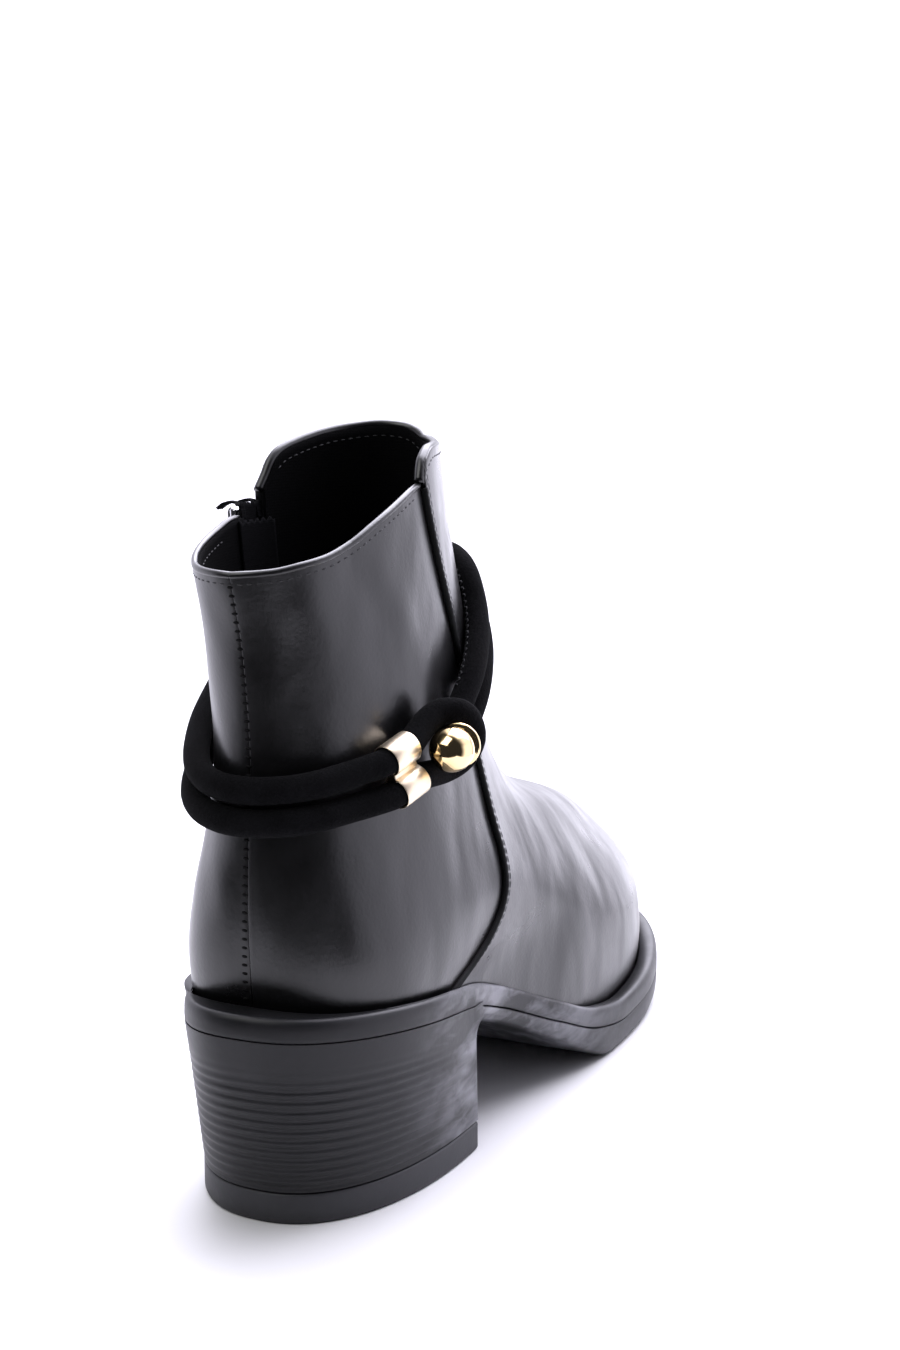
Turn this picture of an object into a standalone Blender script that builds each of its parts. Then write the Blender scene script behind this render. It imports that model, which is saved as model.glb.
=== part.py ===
"""Mid heel ankle boot, right foot, as an assembly of closed solids.

All sizes are in millimetres in a design frame whose x runs from the back of the
heel to the toe, +y is the inner (medial) side, -y the outer (lateral) side and z
is up from the ground. Objects are written in metres with the origin at the middle
of the heel's ground face.
"""
import math
from collections import namedtuple

import bmesh
import bpy
import numpy as np
from mathutils import Matrix, Vector

# Driving dimensions
MM = 0.001
ORIGIN_X = 39.0            # middle of the heel's ground face, from the design origin
GAP = 0.3                  # clearance between neighbouring pieces
SEAT_GAP = 0.45            # clearance above the sole's curved top face
WALL = 2.0                 # leather and lining together
OVERLAY = 1.2              # how far the vamp stands proud of the quarters
ZIP_WIDTH = 11.0           # slot between vamp and medial quarter
ZIP_ROW = 4                # grid row of the upper where the zip slot ends
ZIP_TOP = 175.0            # height of the tape's end above the quarter
RAND_HEIGHT = 6.3
LIFT_HEIGHT = 8.0
BREAST_X = 70.0            # front face of the heel
RIB_COUNT, RIB_DEPTH, RIB_TOP = 13, 0.45, 0.86
INSOLE_THICK, INSOLE_INSET = 3.2, 1.7
CORD_RADIUS = 3.4
CLAMP_LENGTH, CLAMP_RADIUS, CLAMP_BORE, CLAMP_PITCH = 9.0, 4.1, 3.7, 8.9
BALL_RADIUS, CUP_RADIUS = 5.75, 5.8
BALL_INWARD, BALL_UP = 0.2, 0.06    # lean of the cup toward the boot and up, against one forward

Section = namedtuple("Section", "height back front widest lateral medial swing "
                                "back_power medial_power front_power waist")
Row = namedtuple("Row", "x z")
Seam = namedtuple("Seam", "height lateral medial")
Rim = namedtuple("Rim", "turn height")
Strap = namedtuple("Strap", "turn height pitch lift")
Loop = namedtuple("Loop", "turn height lift")

# Horizontal sections of the upper's outer face, one row per height
LAST = (
    Section(5, 13.0, 241, 166, 38.5, 39.5, 8, 3.1, 3.1, 2.35, 0.27),
    Section(22, 11.5, 246, 168, 40.5, 41.0, 8, 3.1, 3.1, 2.35, 0.27),
    Section(36, 10.5, 245, 160, 40.5, 41.0, 8, 3.1, 3.1, 2.35, 0.27),
    Section(48, 9.6, 238, 140, 38.5, 39.0, 8, 3.1, 3.1, 2.32, 0.20),
    Section(56, 9.0, 229, 112, 36.6, 36.6, 8, 3.1, 3.1, 2.30, 0.10),
    Section(63, 8.2, 218, 88, 35.0, 34.8, 7, 3.0, 3.0, 2.25, 0.04),
    Section(70, 7.6, 203, 76, 33.8, 33.6, 6, 2.8, 2.8, 2.15, 0.0),
    Section(76, 7.3, 183, 69, 32.8, 32.4, 6, 2.6, 2.6, 2.10, 0.0),
    Section(84, 7.3, 158, 64, 31.0, 30.4, 5, 2.5, 2.5, 2.05, 0.0),
    Section(96, 8.0, 139, 61, 28.8, 27.6, 4, 2.3, 2.3, 2.0, 0.0),
    Section(115, 9.6, 123, 59, 26.6, 25.6, 3, 2.1, 2.1, 2.0, 0.0),
    Section(140, 7.4, 111, 56, 25.2, 26.4, 2, 2.05, 2.05, 2.0, 0.0),
    Section(165, 1.0, 103, 52, 23.8, 26.6, 2, 2.05, 2.05, 2.0, 0.0),
    Section(197, -7.0, 99, 47, 21.7, 26.4, 2, 2.05, 2.05, 2.0, 0.0),
)
SOLE = Section(0, -2.6, 252, 168, 45.2, 45.2, 5, 2.8, 2.25, 2.35, 0.24)
LIFT = Section(0, 7.5, 78, BREAST_X + 0.7, 33.2, 33.2, 0, 2.3, 2.3, 2.0, 0.0)
WAIST_X, WAIST_SPREAD, HEEL_SPREAD = 88.0, 42.0, 25.0
LAST_HEEL_SHIFT, SOLE_HEEL_SHIFT = 0.5, 1.5

# Heights along the sole: the joint under the rand, and the ground side
JOINT = (Row(-6, 51.4), Row(0, 50.6), Row(35, 46.6), Row(70, 40.6), Row(90, 34.0), Row(120, 21.0),
         Row(145, 11.4), Row(168, 7.8), Row(190, 8.0), Row(215, 9.8), Row(238, 13.4), Row(260, 18.0))
UNDERSIDE = (Row(50, 38.6), Row(70, 36.0), Row(90, 29.2), Row(120, 15.0), Row(140, 4.6), Row(154, 0.0),
             Row(186, 0.0), Row(205, 1.6), Row(225, 4.8), Row(240, 8.2), Row(256, 12.4))

# Front edge of the lateral quarter and back edge of the vamp on the zip side
SEAM = (Seam(44, 52, 50), Seam(48, 57, 54), Seam(52, 68, 63), Seam(57, 78, 71), Seam(64, 86, 76),
        Seam(72, 90, 79), Seam(82, 92, 80), Seam(93, 92, 79), Seam(106, 90, 76), Seam(122, 84, 72),
        Seam(142, 76, 67), Seam(163, 66, 63), Seam(180, 60, 61), Seam(197, 57, 60))

# Collar heights round the boot: back 0, lateral 0.25, front 0.5, medial 0.75
LATERAL_RIM = (Rim(0.0, 163.2), Rim(0.065, 164.0), Rim(0.10, 165.2), Rim(0.132, 166.6), Rim(0.163, 169.2),
               Rim(0.195, 173.0), Rim(0.23, 176.8), Rim(0.262, 180.0), Rim(0.285, 181.4))
VAMP_RIM = (Rim(0.281, 181.4), Rim(0.287, 184.6), Rim(0.296, 187.6), Rim(0.32, 190.0), Rim(0.38, 190.4),
            Rim(0.438, 191.2), Rim(0.47, 193.2), Rim(0.50, 194.3), Rim(0.54, 194.8), Rim(0.58, 194.2),
            Rim(0.615, 193.2), Rim(0.654, 191.0), Rim(0.682, 188.6), Rim(0.695, 186.0), Rim(0.705, 182.2),
            Rim(0.716, 178.4))
MEDIAL_RIM = (Rim(0.74, 172.4), Rim(0.765, 171.8), Rim(0.79, 170.0), Rim(0.829, 167.5), Rim(0.864, 165.6),
              Rim(0.90, 164.0), Rim(1.0, 163.2))

# The doubled cord from the ball round the front, the inner side and the back to the clamp
STRAP = (Strap(0.243, 118.6, 7.3, 4.4), Strap(0.252, 119.0, 7.3, 4.0), Strap(0.262, 119.8, 7.3, 3.8),
         Strap(0.271, 121.8, 7.3, 3.9), Strap(0.284, 125.4, 7.3, 4.5), Strap(0.300, 129.6, 7.3, 5.2),
         Strap(0.322, 134.4, 7.4, 5.4), Strap(0.346, 139.4, 7.4, 5.4), Strap(0.368, 144.6, 7.4, 5.4),
         Strap(0.388, 149.4, 7.4, 5.4), Strap(0.415, 154.0, 7.4, 5.4),
         Strap(0.455, 157.0, 7.4, 5.4), Strap(0.50, 157.6, 7.4, 5.4), Strap(0.56, 155.0, 7.4, 5.4),
         Strap(0.64, 148.0, 7.4, 5.4), Strap(0.72, 137.0, 7.4, 5.4), Strap(0.80, 125.0, 7.6, 5.0),
         Strap(0.87, 116.6, 7.8, 4.4), Strap(0.92, 112.6, 8.0, 4.2), Strap(0.96, 111.0, 8.0, 4.2),
         Strap(1.0, 110.5, 8.0, 4.2), Strap(1.05, 111.0, 8.1, 4.2), Strap(1.10, 112.4, 8.3, 4.4))
LOOP = (Loop(0.205, 121.4, 4.6), Loop(0.220, 123.6, 5.2), Loop(0.230, 124.5, 7.2),
        Loop(0.236, 124.2, 9.6), Loop(0.244, 121.6, 11.0), Loop(0.248, 117.4, 11.2),
        Loop(0.248, 112.8, 9.4), Loop(0.242, 109.4, 6.4), Loop(0.229, 108.4, 4.4))
SECOND_FROM = 2            # strap row at which the lower strand ends, behind the loop
CLAMP_AT = Loop(0.173, 112.2, 5.3)
CLAMP_RISE = 17.0          # degrees from level toward the toe
BALL_AT = Loop(0.208, 115.9, 12.4)
SLIDER_HEIGHT = 169.5      # where the zip slider sits
PULL_LENGTH, PULL_WIDTH, PULL_THICK = 17.0, 5.4, 1.0

COLOURS = {"leather": (0.03, 0.03, 0.035), "rubber": (0.025, 0.025, 0.03), "lining": (0.02, 0.02, 0.02),
           "cord": (0.012, 0.012, 0.014), "gold": (0.83, 0.66, 0.40), "steel": (0.62, 0.63, 0.65),
           "dark_metal": (0.05, 0.05, 0.055)}
ROUGHNESS = {"leather": 0.25, "rubber": 0.42, "lining": 0.9, "cord": 0.95, "gold": 0.1, "steel": 0.2,
             "dark_metal": 0.35}
METALS = ("gold", "steel", "dark_metal")
SHARP_ANGLE = 40.0         # degrees past which an edge of a smooth piece stays sharp


# Smooth tables and outlines
SLOPES = {}


def slopes(rows, key, value):
    """Knots, values and monotone slopes of one table column, worked out once."""
    mark = (rows, key, value)
    if mark not in SLOPES:
        xs = np.array([getattr(r, key) for r in rows], float)
        ys = np.array([getattr(r, value) for r in rows], float)
        step = np.diff(xs)
        rise = np.diff(ys) / step
        slope = np.empty_like(ys)
        slope[0], slope[-1] = rise[0], rise[-1]
        for k in range(1, len(xs) - 1):
            before, after = rise[k - 1], rise[k]
            u, v = 2 * step[k] + step[k - 1], step[k] + 2 * step[k - 1]
            slope[k] = (u + v) / (u / before + v / after) if before * after > 0 else 0.0
        SLOPES[mark] = xs, ys, step, slope
    return SLOPES[mark]


def blend(rows, key, value, at):
    """Monotone cubic through one column of a table, so it never overshoots its rows."""
    xs, ys, step, slope = slopes(rows, key, value)
    at = np.clip(np.asarray(at, float), xs[0], xs[-1])
    i = np.clip(np.searchsorted(xs, at) - 1, 0, len(step) - 1)
    t = (at - xs[i]) / step[i]
    return ((1 + 2 * t) * (1 - t) ** 2 * ys[i] + t * (1 - t) ** 2 * step[i] * slope[i]
            + t * t * (3 - 2 * t) * ys[i + 1] + t * t * (t - 1) * step[i] * slope[i + 1])


def section_at(z):
    """The upper's section at a height."""
    return Section(*[z if name == "height" else blend(LAST, "height", name, z) for name in Section._fields])


def outline(s, turn, shift):
    """Plan point of a section; turn 0 is the back, 0.25 lateral, 0.5 the toe, 0.75 medial."""
    angle = 2 * math.pi * np.asarray(turn, float)
    c, sn = np.cos(angle), np.sin(angle)
    behind = c >= 0
    power = np.where(behind, np.where(sn >= 0, s.back_power, s.medial_power), s.front_power)
    run = np.where(behind, s.back - s.widest, s.front - s.widest)
    x = s.widest + run * np.abs(c) ** (2 / power)
    half = np.where(sn >= 0, s.lateral, s.medial) * np.abs(sn) ** (2 / power)
    half = half * (1 - s.waist * np.exp(-((x - WAIST_X) / WAIST_SPREAD) ** 2))
    along = np.clip((x - s.back) / (s.front - s.back), 0, 1)
    y = -np.sign(sn) * half + s.swing * along ** 2 + shift * np.exp(-((x - s.back) / HEEL_SPREAD) ** 2)
    return x, y


def turn_at(s, x, medial):
    """The turn at which a section reaches a length, on one side."""
    power = s.medial_power if medial else s.back_power
    near = np.clip((s.widest - x) / (s.widest - s.back), 0, 1) ** (power / 2)
    far = np.clip((x - s.widest) / (s.front - s.widest), 0, 1) ** (s.front_power / 2)
    turn = np.arccos(np.where(np.asarray(x) < s.widest, near, -far)) / (2 * math.pi)
    return 1 - turn if medial else turn


def last(turn, z):
    """Point on the upper's outer face."""
    x, y = outline(section_at(z), turn, LAST_HEEL_SHIFT)
    return np.stack([x, y, np.broadcast_to(np.asarray(z, float), np.shape(x))], -1)


def outward(turn, z):
    """Unit normal of the upper's outer face."""
    z = np.asarray(z, float)
    n = np.cross(last(turn + 1e-4, z) - last(turn - 1e-4, z), last(turn, z + 0.2) - last(turn, z - 0.2))
    return n / np.linalg.norm(n, axis=-1, keepdims=True)


def on_last(turn, z, lift):
    """Point a given distance off the upper's outer face."""
    return last(turn, z) + outward(turn, z) * np.asarray(lift, float)[..., None]


def sole_plan(turn, grow=0.0):
    """Plan point of the sole's edge, grown outward by a distance."""
    s = SOLE._replace(back=SOLE.back - grow, front=SOLE.front + grow,
                      lateral=SOLE.lateral + grow, medial=SOLE.medial + grow)
    return outline(s, turn, SOLE_HEEL_SHIFT)


def joint(x):
    """Height of the sole's top face."""
    return blend(JOINT, "x", "z", x)


def underside(x):
    """Height of the sole's ground side in front of the heel."""
    return blend(UNDERSIDE, "x", "z", x)


def feather(turn_of, rise):
    """Height at which a column of the upper meets the sole's top face plus a rise."""
    z = 30.0
    for _ in range(60):
        x = last(np.float64(turn_of(z)), np.float64(z))[0]
        z += 0.5 * (float(joint(x)) + rise - z)
    return z


# Mesh writing
def material(name):
    """One plain material per kind of stuff."""
    mat = bpy.data.materials.get(name) or bpy.data.materials.new(name)
    mat.use_nodes = True
    shader = mat.node_tree.nodes["Principled BSDF"]
    shader.inputs["Base Color"].default_value = COLOURS[name] + (1.0,)
    shader.inputs["Roughness"].default_value = ROUGHNESS[name]
    shader.inputs["Metallic"].default_value = 1.0 if name in METALS else 0.0
    return mat


def add_object(name, points, faces, stuff):
    """Write one closed solid in metres, with its faces turned outward."""
    mesh = bpy.data.meshes.new(name)
    mesh.from_pydata([((p[0] - ORIGIN_X) * MM, p[1] * MM, p[2] * MM) for p in points], [], faces)
    bm = bmesh.new()
    bm.from_mesh(mesh)
    bmesh.ops.remove_doubles(bm, verts=bm.verts, dist=1e-7)
    bmesh.ops.recalc_face_normals(bm, faces=bm.faces)
    bm.to_mesh(mesh)
    bm.free()
    mesh.shade_smooth()
    mesh.set_sharp_from_angle(angle=math.radians(SHARP_ANGLE))
    obj = bpy.data.objects.new(name, mesh)
    bpy.context.scene.collection.objects.link(obj)
    mesh.materials.append(material(stuff))
    return obj


def hide_cutter(obj):
    """A shape that only takes part in a boolean."""
    obj.hide_render = True
    obj.display_type = "WIRE"
    return obj


def boolean(obj, cutter, operation):
    """Join or cut with another shape."""
    mod = obj.modifiers.new(operation.lower(), "BOOLEAN")
    mod.operation = operation
    mod.solver = "EXACT"
    mod.object = hide_cutter(cutter)


def loft(name, loops, stuff):
    """Solid through closed loops of equal count, capped across from side to side."""
    count = len(loops[0])
    points = [p for loop in loops for p in loop]
    faces = []
    for level in range(len(loops) - 1):
        a, b = level * count, (level + 1) * count
        for k in range(count):
            m = (k + 1) % count
            faces.append((a + k, a + m, b + m, b + k))
    for base in (0, (len(loops) - 1) * count):
        for k in range(count // 2):
            ring = [k, k + 1, count - k - 1, (count - k) % count]
            face = tuple(dict.fromkeys(base + i for i in ring))
            if len(face) > 2:
                faces.append(face)
    return add_object(name, points, faces, stuff)


def ring(name, loops, stuff):
    """Closed ring: one closed section loop per station round the boot."""
    stations, count = len(loops), len(loops[0])
    points = [p for loop in loops for p in loop]
    faces = []
    for s in range(stations):
        a, b = s * count, ((s + 1) % stations) * count
        for k in range(count):
            m = (k + 1) % count
            faces.append((a + k, a + m, b + m, b + k))
    return add_object(name, points, faces, stuff)


def sheet(name, outer, inner, keep, closed, stuff):
    """Solid sheet from two grids [column][row]; keep says which cells are filled."""
    columns, rows = len(outer), len(outer[0])
    points = [p for grid in (outer, inner) for column in grid for p in column]
    shift = columns * rows
    cells = columns if closed else columns - 1
    filled = {(c, r) for c in range(cells) for r in range(rows - 1) if keep(c, r)}
    faces = []

    def at(c, r):
        return (c % columns) * rows + r

    for c, r in filled:
        quad = [at(c, r), at(c + 1, r), at(c + 1, r + 1), at(c, r + 1)]
        faces.append(tuple(quad))
        faces.append(tuple(i + shift for i in reversed(quad)))
        left = (c - 1) % columns if closed else c - 1
        right = (c + 1) % columns if closed else c + 1
        for other, i, j in (((c, r - 1), quad[0], quad[1]), ((right, r), quad[1], quad[2]),
                            ((c, r + 1), quad[2], quad[3]), ((left, r), quad[3], quad[0])):
            if other not in filled:
                faces.append((j, i, i + shift, j + shift))
    return add_object(name, points, faces, stuff)


def frame_box(name, origin, axes, low, high, stuff):
    """Box given by its corners in a local frame."""
    corners = [np.array([(low, high)[i][0], (low, high)[j][1], (low, high)[k][2]])
               for i in (0, 1) for j in (0, 1) for k in (0, 1)]
    points = [origin + sum(v * axis for v, axis in zip(c, axes)) for c in corners]
    faces = [(0, 1, 3, 2), (4, 6, 7, 5), (0, 4, 5, 1), (2, 3, 7, 6), (0, 2, 6, 4), (1, 5, 7, 3)]
    return add_object(name, points, faces, stuff)


def revolve(name, origin, axis, profile, sides, stuff):
    """Solid of revolution from (radius, height) rows whose ends lie on the axis."""
    side = np.cross(axis, [0.0, 0.0, 1.0])
    side = side / np.linalg.norm(side)
    other = np.cross(axis, side)
    points, rings, faces = [], [], []
    for radius, height in profile:
        row = []
        for k in range(sides if radius > 0 else 1):
            angle = 2 * math.pi * k / sides
            row.append(len(points))
            spoke = math.cos(angle) * side + math.sin(angle) * other
            points.append(origin + axis * height + radius * spoke)
        rings.append(row)
    for a, b in zip(rings, rings[1:]):
        for k in range(sides):
            m = (k + 1) % sides
            face = (a[k % len(a)], a[m % len(a)], b[m % len(b)], b[k % len(b)])
            faces.append(tuple(dict.fromkeys(face)))
    return add_object(name, points, faces, stuff)


# Sole unit
def heel_edge(count):
    """Turns along the heel on each side, from the back to the breast."""
    lateral = float(turn_at(SOLE, BREAST_X, False))
    medial = float(turn_at(SOLE, BREAST_X, True))
    return np.linspace(0, lateral, count), np.linspace(medial, 1.0, count)[:-1]


def heel_loop(level, side_count=16):
    """One slanted loop of the heel block; level 0 is the lift, 1 the top face."""
    lateral, medial = heel_edge(side_count)
    low_l = np.linspace(0, 0.25, side_count)
    low_m = np.linspace(0.75, 1.0, side_count)[:-1]
    points = []
    bottom = LIFT_HEIGHT + GAP
    ribbed = level * RIB_COUNT / RIB_TOP

    def blend_point(t_top, t_low):
        a, b = np.array(sole_plan(t_top)), np.array(outline(LIFT, t_low, 0.0))
        p = b + (a - b) * level
        if 0 < level < RIB_TOP:
            groove = RIB_DEPTH * (0.5 - 0.5 * math.cos(2 * math.pi * ribbed))
            fade = min(1.0, max(0.0, (BREAST_X - 6 - p[0]) / 16))
            away = np.array([p[0] - ORIGIN_X, p[1]])
            p = p - groove * fade * away / np.linalg.norm(away)
        return p

    half = [blend_point(t, u) for t, u in zip(lateral, low_l)]
    back = [blend_point(t, u) for t, u in zip(medial, low_m)]
    for p in half + back:
        points.append(np.array([p[0], p[1], bottom + (float(joint(p[0])) - bottom) * level]))
    return points


def build_outsole():
    """Heel block and forefoot plate moulded as one rubber unit."""
    levels = [0.0]
    for k in range(RIB_COUNT):
        levels += [(k + 0.5) * RIB_TOP / RIB_COUNT, (k + 1.0) * RIB_TOP / RIB_COUNT]
    levels.append(1.0)
    block = loft("heel_block_form", [heel_loop(v) for v in levels], "rubber")
    start = BREAST_X - 9.0
    first = float(turn_at(SOLE, start, False))
    final = float(turn_at(SOLE, start, True))
    turns = np.concatenate([np.linspace(first, 0.5, 31), np.linspace(0.5, final, 31)[1:]])

    def plate_loop(grow, height):
        x, y = sole_plan(turns, grow)
        x = np.maximum(x, start)
        return [np.array([a, b, height(a)]) for a, b in zip(x, y)]

    loops = [plate_loop(-3.2, lambda x: float(underside(x))),
             plate_loop(-1.3, lambda x: float(underside(x)) + 0.7),
             plate_loop(-0.4, lambda x: float(underside(x)) + 2.2),
             plate_loop(-0.3, lambda x: float(joint(x)) - 0.15)]
    count = len(loops[0])
    points = [p for loop in loops for p in loop]
    faces = []
    for level in range(len(loops) - 1):
        for k in range(count):
            m = (k + 1) % count
            a, b = level * count, (level + 1) * count
            faces.append((a + k, a + m, b + m, b + k))
    for base in (0, (len(loops) - 1) * count):
        for k in range(count // 2):
            face = (base + k, base + k + 1, base + count - 2 - k, base + count - 1 - k)
            faces.append(tuple(dict.fromkeys(face)))
    plate = add_object("outsole", points, faces, "rubber")
    boolean(plate, block, "UNION")
    return plate


def build_top_lift():
    """Flat wearing piece under the heel."""
    side = np.linspace(0, 0.25, 17)
    turns = np.concatenate([side, np.linspace(0.75, 1.0, 17)[:-1]])

    def loop(inset, z):
        s = LIFT._replace(back=LIFT.back + inset, lateral=LIFT.lateral - inset, medial=LIFT.medial - inset)
        x, y = outline(s, turns, 0.0)
        return [np.array([a, b, z]) for a, b in zip(x, y)]

    loops = [loop(0.8, 0.0), loop(0.0, 0.8), loop(0.0, LIFT_HEIGHT - 0.5), loop(0.5, LIFT_HEIGHT)]
    return loft("top_lift", loops, "rubber")


def build_rand(stations=88):
    """Rubber strip round the foot of the upper."""
    edge = np.linspace(0, 1, 2001)[:-1]
    ex, ey = sole_plan(edge)
    loops = []
    for k in range(stations):
        turn = k / stations
        low = feather(lambda z: turn, SEAT_GAP)
        high = feather(lambda z: turn, RAND_HEIGHT)
        inner = [on_last(np.float64(turn), np.float64(z), np.float64(OVERLAY + 0.45))
                 for z in (low, 0.5 * (low + high), high)]
        near = edge[np.argmin((ex - inner[1][0]) ** 2 + (ey - inner[1][1]) ** 2)]

        def outer(grow, rise):
            x, y = sole_plan(near, grow)
            return np.array([float(x), float(y), float(joint(x)) + rise])

        for p, rise in zip(inner, (SEAT_GAP, 0.5 * RAND_HEIGHT, RAND_HEIGHT)):
            p[2] = float(joint(p[0])) + rise
        loops.append([inner[0], outer(-0.2, SEAT_GAP), outer(0.0, 1.2), outer(-0.1, 4.2), outer(-0.7, 5.7),
                      outer(-1.5, RAND_HEIGHT), inner[2], inner[1]])
    return ring("rand", loops, "rubber")


def build_insole(stations=64):
    """Insole board and sock on the sole inside the upper."""
    loops = []
    for rise, inset in ((SEAT_GAP, INSOLE_INSET), (INSOLE_THICK, INSOLE_INSET)):
        loop = []
        for k in range(stations):
            turn = k / stations
            z = feather(lambda h: turn, rise)
            p = on_last(np.float64(turn), np.float64(z), np.float64(-WALL - inset))
            p[2] = float(joint(p[0])) + rise
            loop.append(p)
        loops.append(loop)
    return loft("insole", loops, "lining")


# Upper
def seam_turn(z, medial, move=0.0):
    """Turn of a seam at a height, moved along the boot."""
    s = section_at(z)
    x = blend(SEAM, "height", "medial" if medial else "lateral", z) + move
    return turn_at(s, x, medial)


def panel_columns():
    """Columns of the upper: (turn as a function of height, layer, rim table)."""
    columns = []

    def between(first, final, fraction):
        return lambda z: float(first(z)) + (float(final(z)) - float(first(z))) * fraction

    lateral = lambda z: seam_turn(z, False)
    vamp_start = lambda z: seam_turn(z, False, 0.7)
    vamp_end = lambda z: seam_turn(z, True)
    medial = lambda z: seam_turn(z, True, -ZIP_WIDTH)
    nought, one = (lambda z: 0.0), (lambda z: 1.0)
    for f in np.linspace(0, 1, 10):
        columns.append((between(nought, lateral, f), 0.0, LATERAL_RIM))
    near = [0.0, 0.012, 0.03, 0.06, 0.095, 0.135, 0.175, 0.215, 0.26, 0.305, 0.345, 0.385, 0.42,
            0.455, 0.485]
    for f in near + [0.515] + [1 - v for v in reversed(near[:-1])]:
        columns.append((between(vamp_start, vamp_end, f), OVERLAY, VAMP_RIM))
    slot = len(columns) - 1
    for f in np.linspace(0, 1, 9)[:-1]:
        columns.append((between(medial, one, f), 0.0, MEDIAL_RIM))
    return columns, slot


def column_heights(turn_of, rim, rows):
    """Heights of a column's points, even along its length from the sole to the collar."""
    low = feather(turn_of, SEAT_GAP)
    high = 175.0
    for _ in range(40):
        high += 0.6 * (float(blend(rim, "turn", "height", turn_of(high))) - high)
    zs = np.linspace(low, high, 160)
    path = np.array([last(np.float64(turn_of(z)), np.float64(z)) for z in zs])
    length = np.concatenate([[0], np.cumsum(np.linalg.norm(np.diff(path, axis=0), axis=1))])
    return np.interp(np.linspace(0, length[-1], rows), length, zs)


def build_upper(rows=23):
    """One hollow leather solid: two quarters and the vamp that laps over them."""
    columns, slot = panel_columns()
    outer, inner, slot_heights = [], [], []
    for index, (turn_of, layer, rim) in enumerate(columns):
        zs = column_heights(turn_of, rim, rows)
        turns = np.array([turn_of(z) for z in zs])
        for grid, lift in ((outer, layer), (inner, -WALL)):
            grid.append(on_last(turns, zs, np.full(rows, lift)))
            grid[-1][0][2] = float(joint(grid[-1][0][0])) + SEAT_GAP
        if index in (slot, slot + 1):
            slot_heights.append(zs[ZIP_ROW])
    sheet("upper", outer, inner, lambda c, r: not (c == slot and r >= ZIP_ROW), True, "leather")
    return max(slot_heights)


# Zip
def zip_frame(height):
    """Local frame on the zip's middle line: across, up, outward."""
    turn = float(seam_turn(height, True, -0.5 * ZIP_WIDTH))
    spot = last(np.float64(turn), np.float64(height))
    out = outward(np.float64(turn), np.float64(height))
    above = last(np.float64(seam_turn(height + 4, True, -0.5 * ZIP_WIDTH)), np.float64(height + 4)) - spot
    up = above - out * above.dot(out)
    up = up / np.linalg.norm(up)
    return spot, np.cross(up, out), up, out


def build_zip(low):
    """Zip tape with its closed chain, and the slider and pull at the top."""
    across = (0.45, 3.2, 3.9, 7.1, 7.8, ZIP_WIDTH - 0.45)
    raised = (-0.3, -0.3, 0.7, 0.7, -0.3, -0.3)
    heights = np.linspace(low + 0.6, ZIP_TOP, 21)
    outer, inner = [], []
    for move, lift in zip(across, raised):
        turns = np.array([float(seam_turn(z, True, move - ZIP_WIDTH)) for z in heights])
        outer.append(on_last(turns, heights, np.full(len(heights), lift)))
        inner.append(on_last(turns, heights, np.full(len(heights), -1.6)))
    sheet("zip_tape", outer, inner, lambda c, r: True, False, "cord")
    spot, side, up, out = zip_frame(SLIDER_HEIGHT)
    axes = (side, up, out)
    body = frame_box("zip_slider", spot, axes, (-3.6, -4.5, 1.3), (3.6, 4.5, 3.6), "steel")
    posts = (((-0.8, -0.8, 3.3), (0.8, 0.2, 6.2)), ((-0.8, 3.2, 3.3), (0.8, 4.2, 6.2)),
             ((-0.7, -0.6, 5.2), (0.7, 4.0, 6.1)))
    for k, (low, high) in enumerate(posts):
        boolean(body, frame_box("bail_form_%d" % k, spot, axes, low, high, "steel"), "UNION")
    pivot = spot + 1.7 * up + 4.4 * out
    half, thick = 0.5 * PULL_WIDTH, 0.5 * PULL_THICK
    pull = frame_box("zip_pull", pivot, axes, (-half, -PULL_LENGTH, -thick), (half, thick, thick),
                     "dark_metal")
    eye = frame_box("pull_eye_form", pivot, axes, (-half + 1.1, -3.2, -3.0), (half - 1.1, -thick, 3.0),
                    "dark_metal")
    hinge = Vector((pivot - [ORIGIN_X, 0, 0]) * MM)
    for obj in (pull, eye):
        obj.data.transform(Matrix.Translation(-hinge))
        obj.location = hinge
    boolean(pull, eye, "DIFFERENCE")
    return pivot, -side


# Cord, clamp and ball
def clamp_frame():
    """Middle of the clamp with its axis, the way across its two bores and the way out."""
    turn, z = np.float64(CLAMP_AT.turn), np.float64(CLAMP_AT.height)
    spot, out = on_last(turn, z, np.float64(CLAMP_AT.lift)), outward(turn, z)
    level = last(turn + 0.01, z) - last(turn - 0.01, z)
    level = level - out * level.dot(out)
    level = level / np.linalg.norm(level)
    up = np.cross(out, level)
    rise = math.radians(CLAMP_RISE)
    axis = math.cos(rise) * level + math.sin(rise) * up
    return spot, axis, np.cross(out, axis), out


def smooth_path(rows, fields, spacing):
    """Even points of a curve through table rows, by a spline over the row number."""
    count = len(rows)
    index = namedtuple("Index", ("at",) + fields)
    table = tuple(index(k, *[getattr(r, f) for f in fields]) for k, r in enumerate(rows))
    fine = np.linspace(0, count - 1, 24 * count)
    values = {f: blend(table, "at", f, fine) for f in fields}
    path = on_last(values["turn"], values["height"], values["lift"])
    length = np.concatenate([[0], np.cumsum(np.linalg.norm(np.diff(path, axis=0), axis=1))])
    marks = np.linspace(0, length[-1], max(3, int(length[-1] / spacing)))
    return np.array([[np.interp(m, length, path[:, k]) for k in range(3)] for m in marks])


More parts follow.
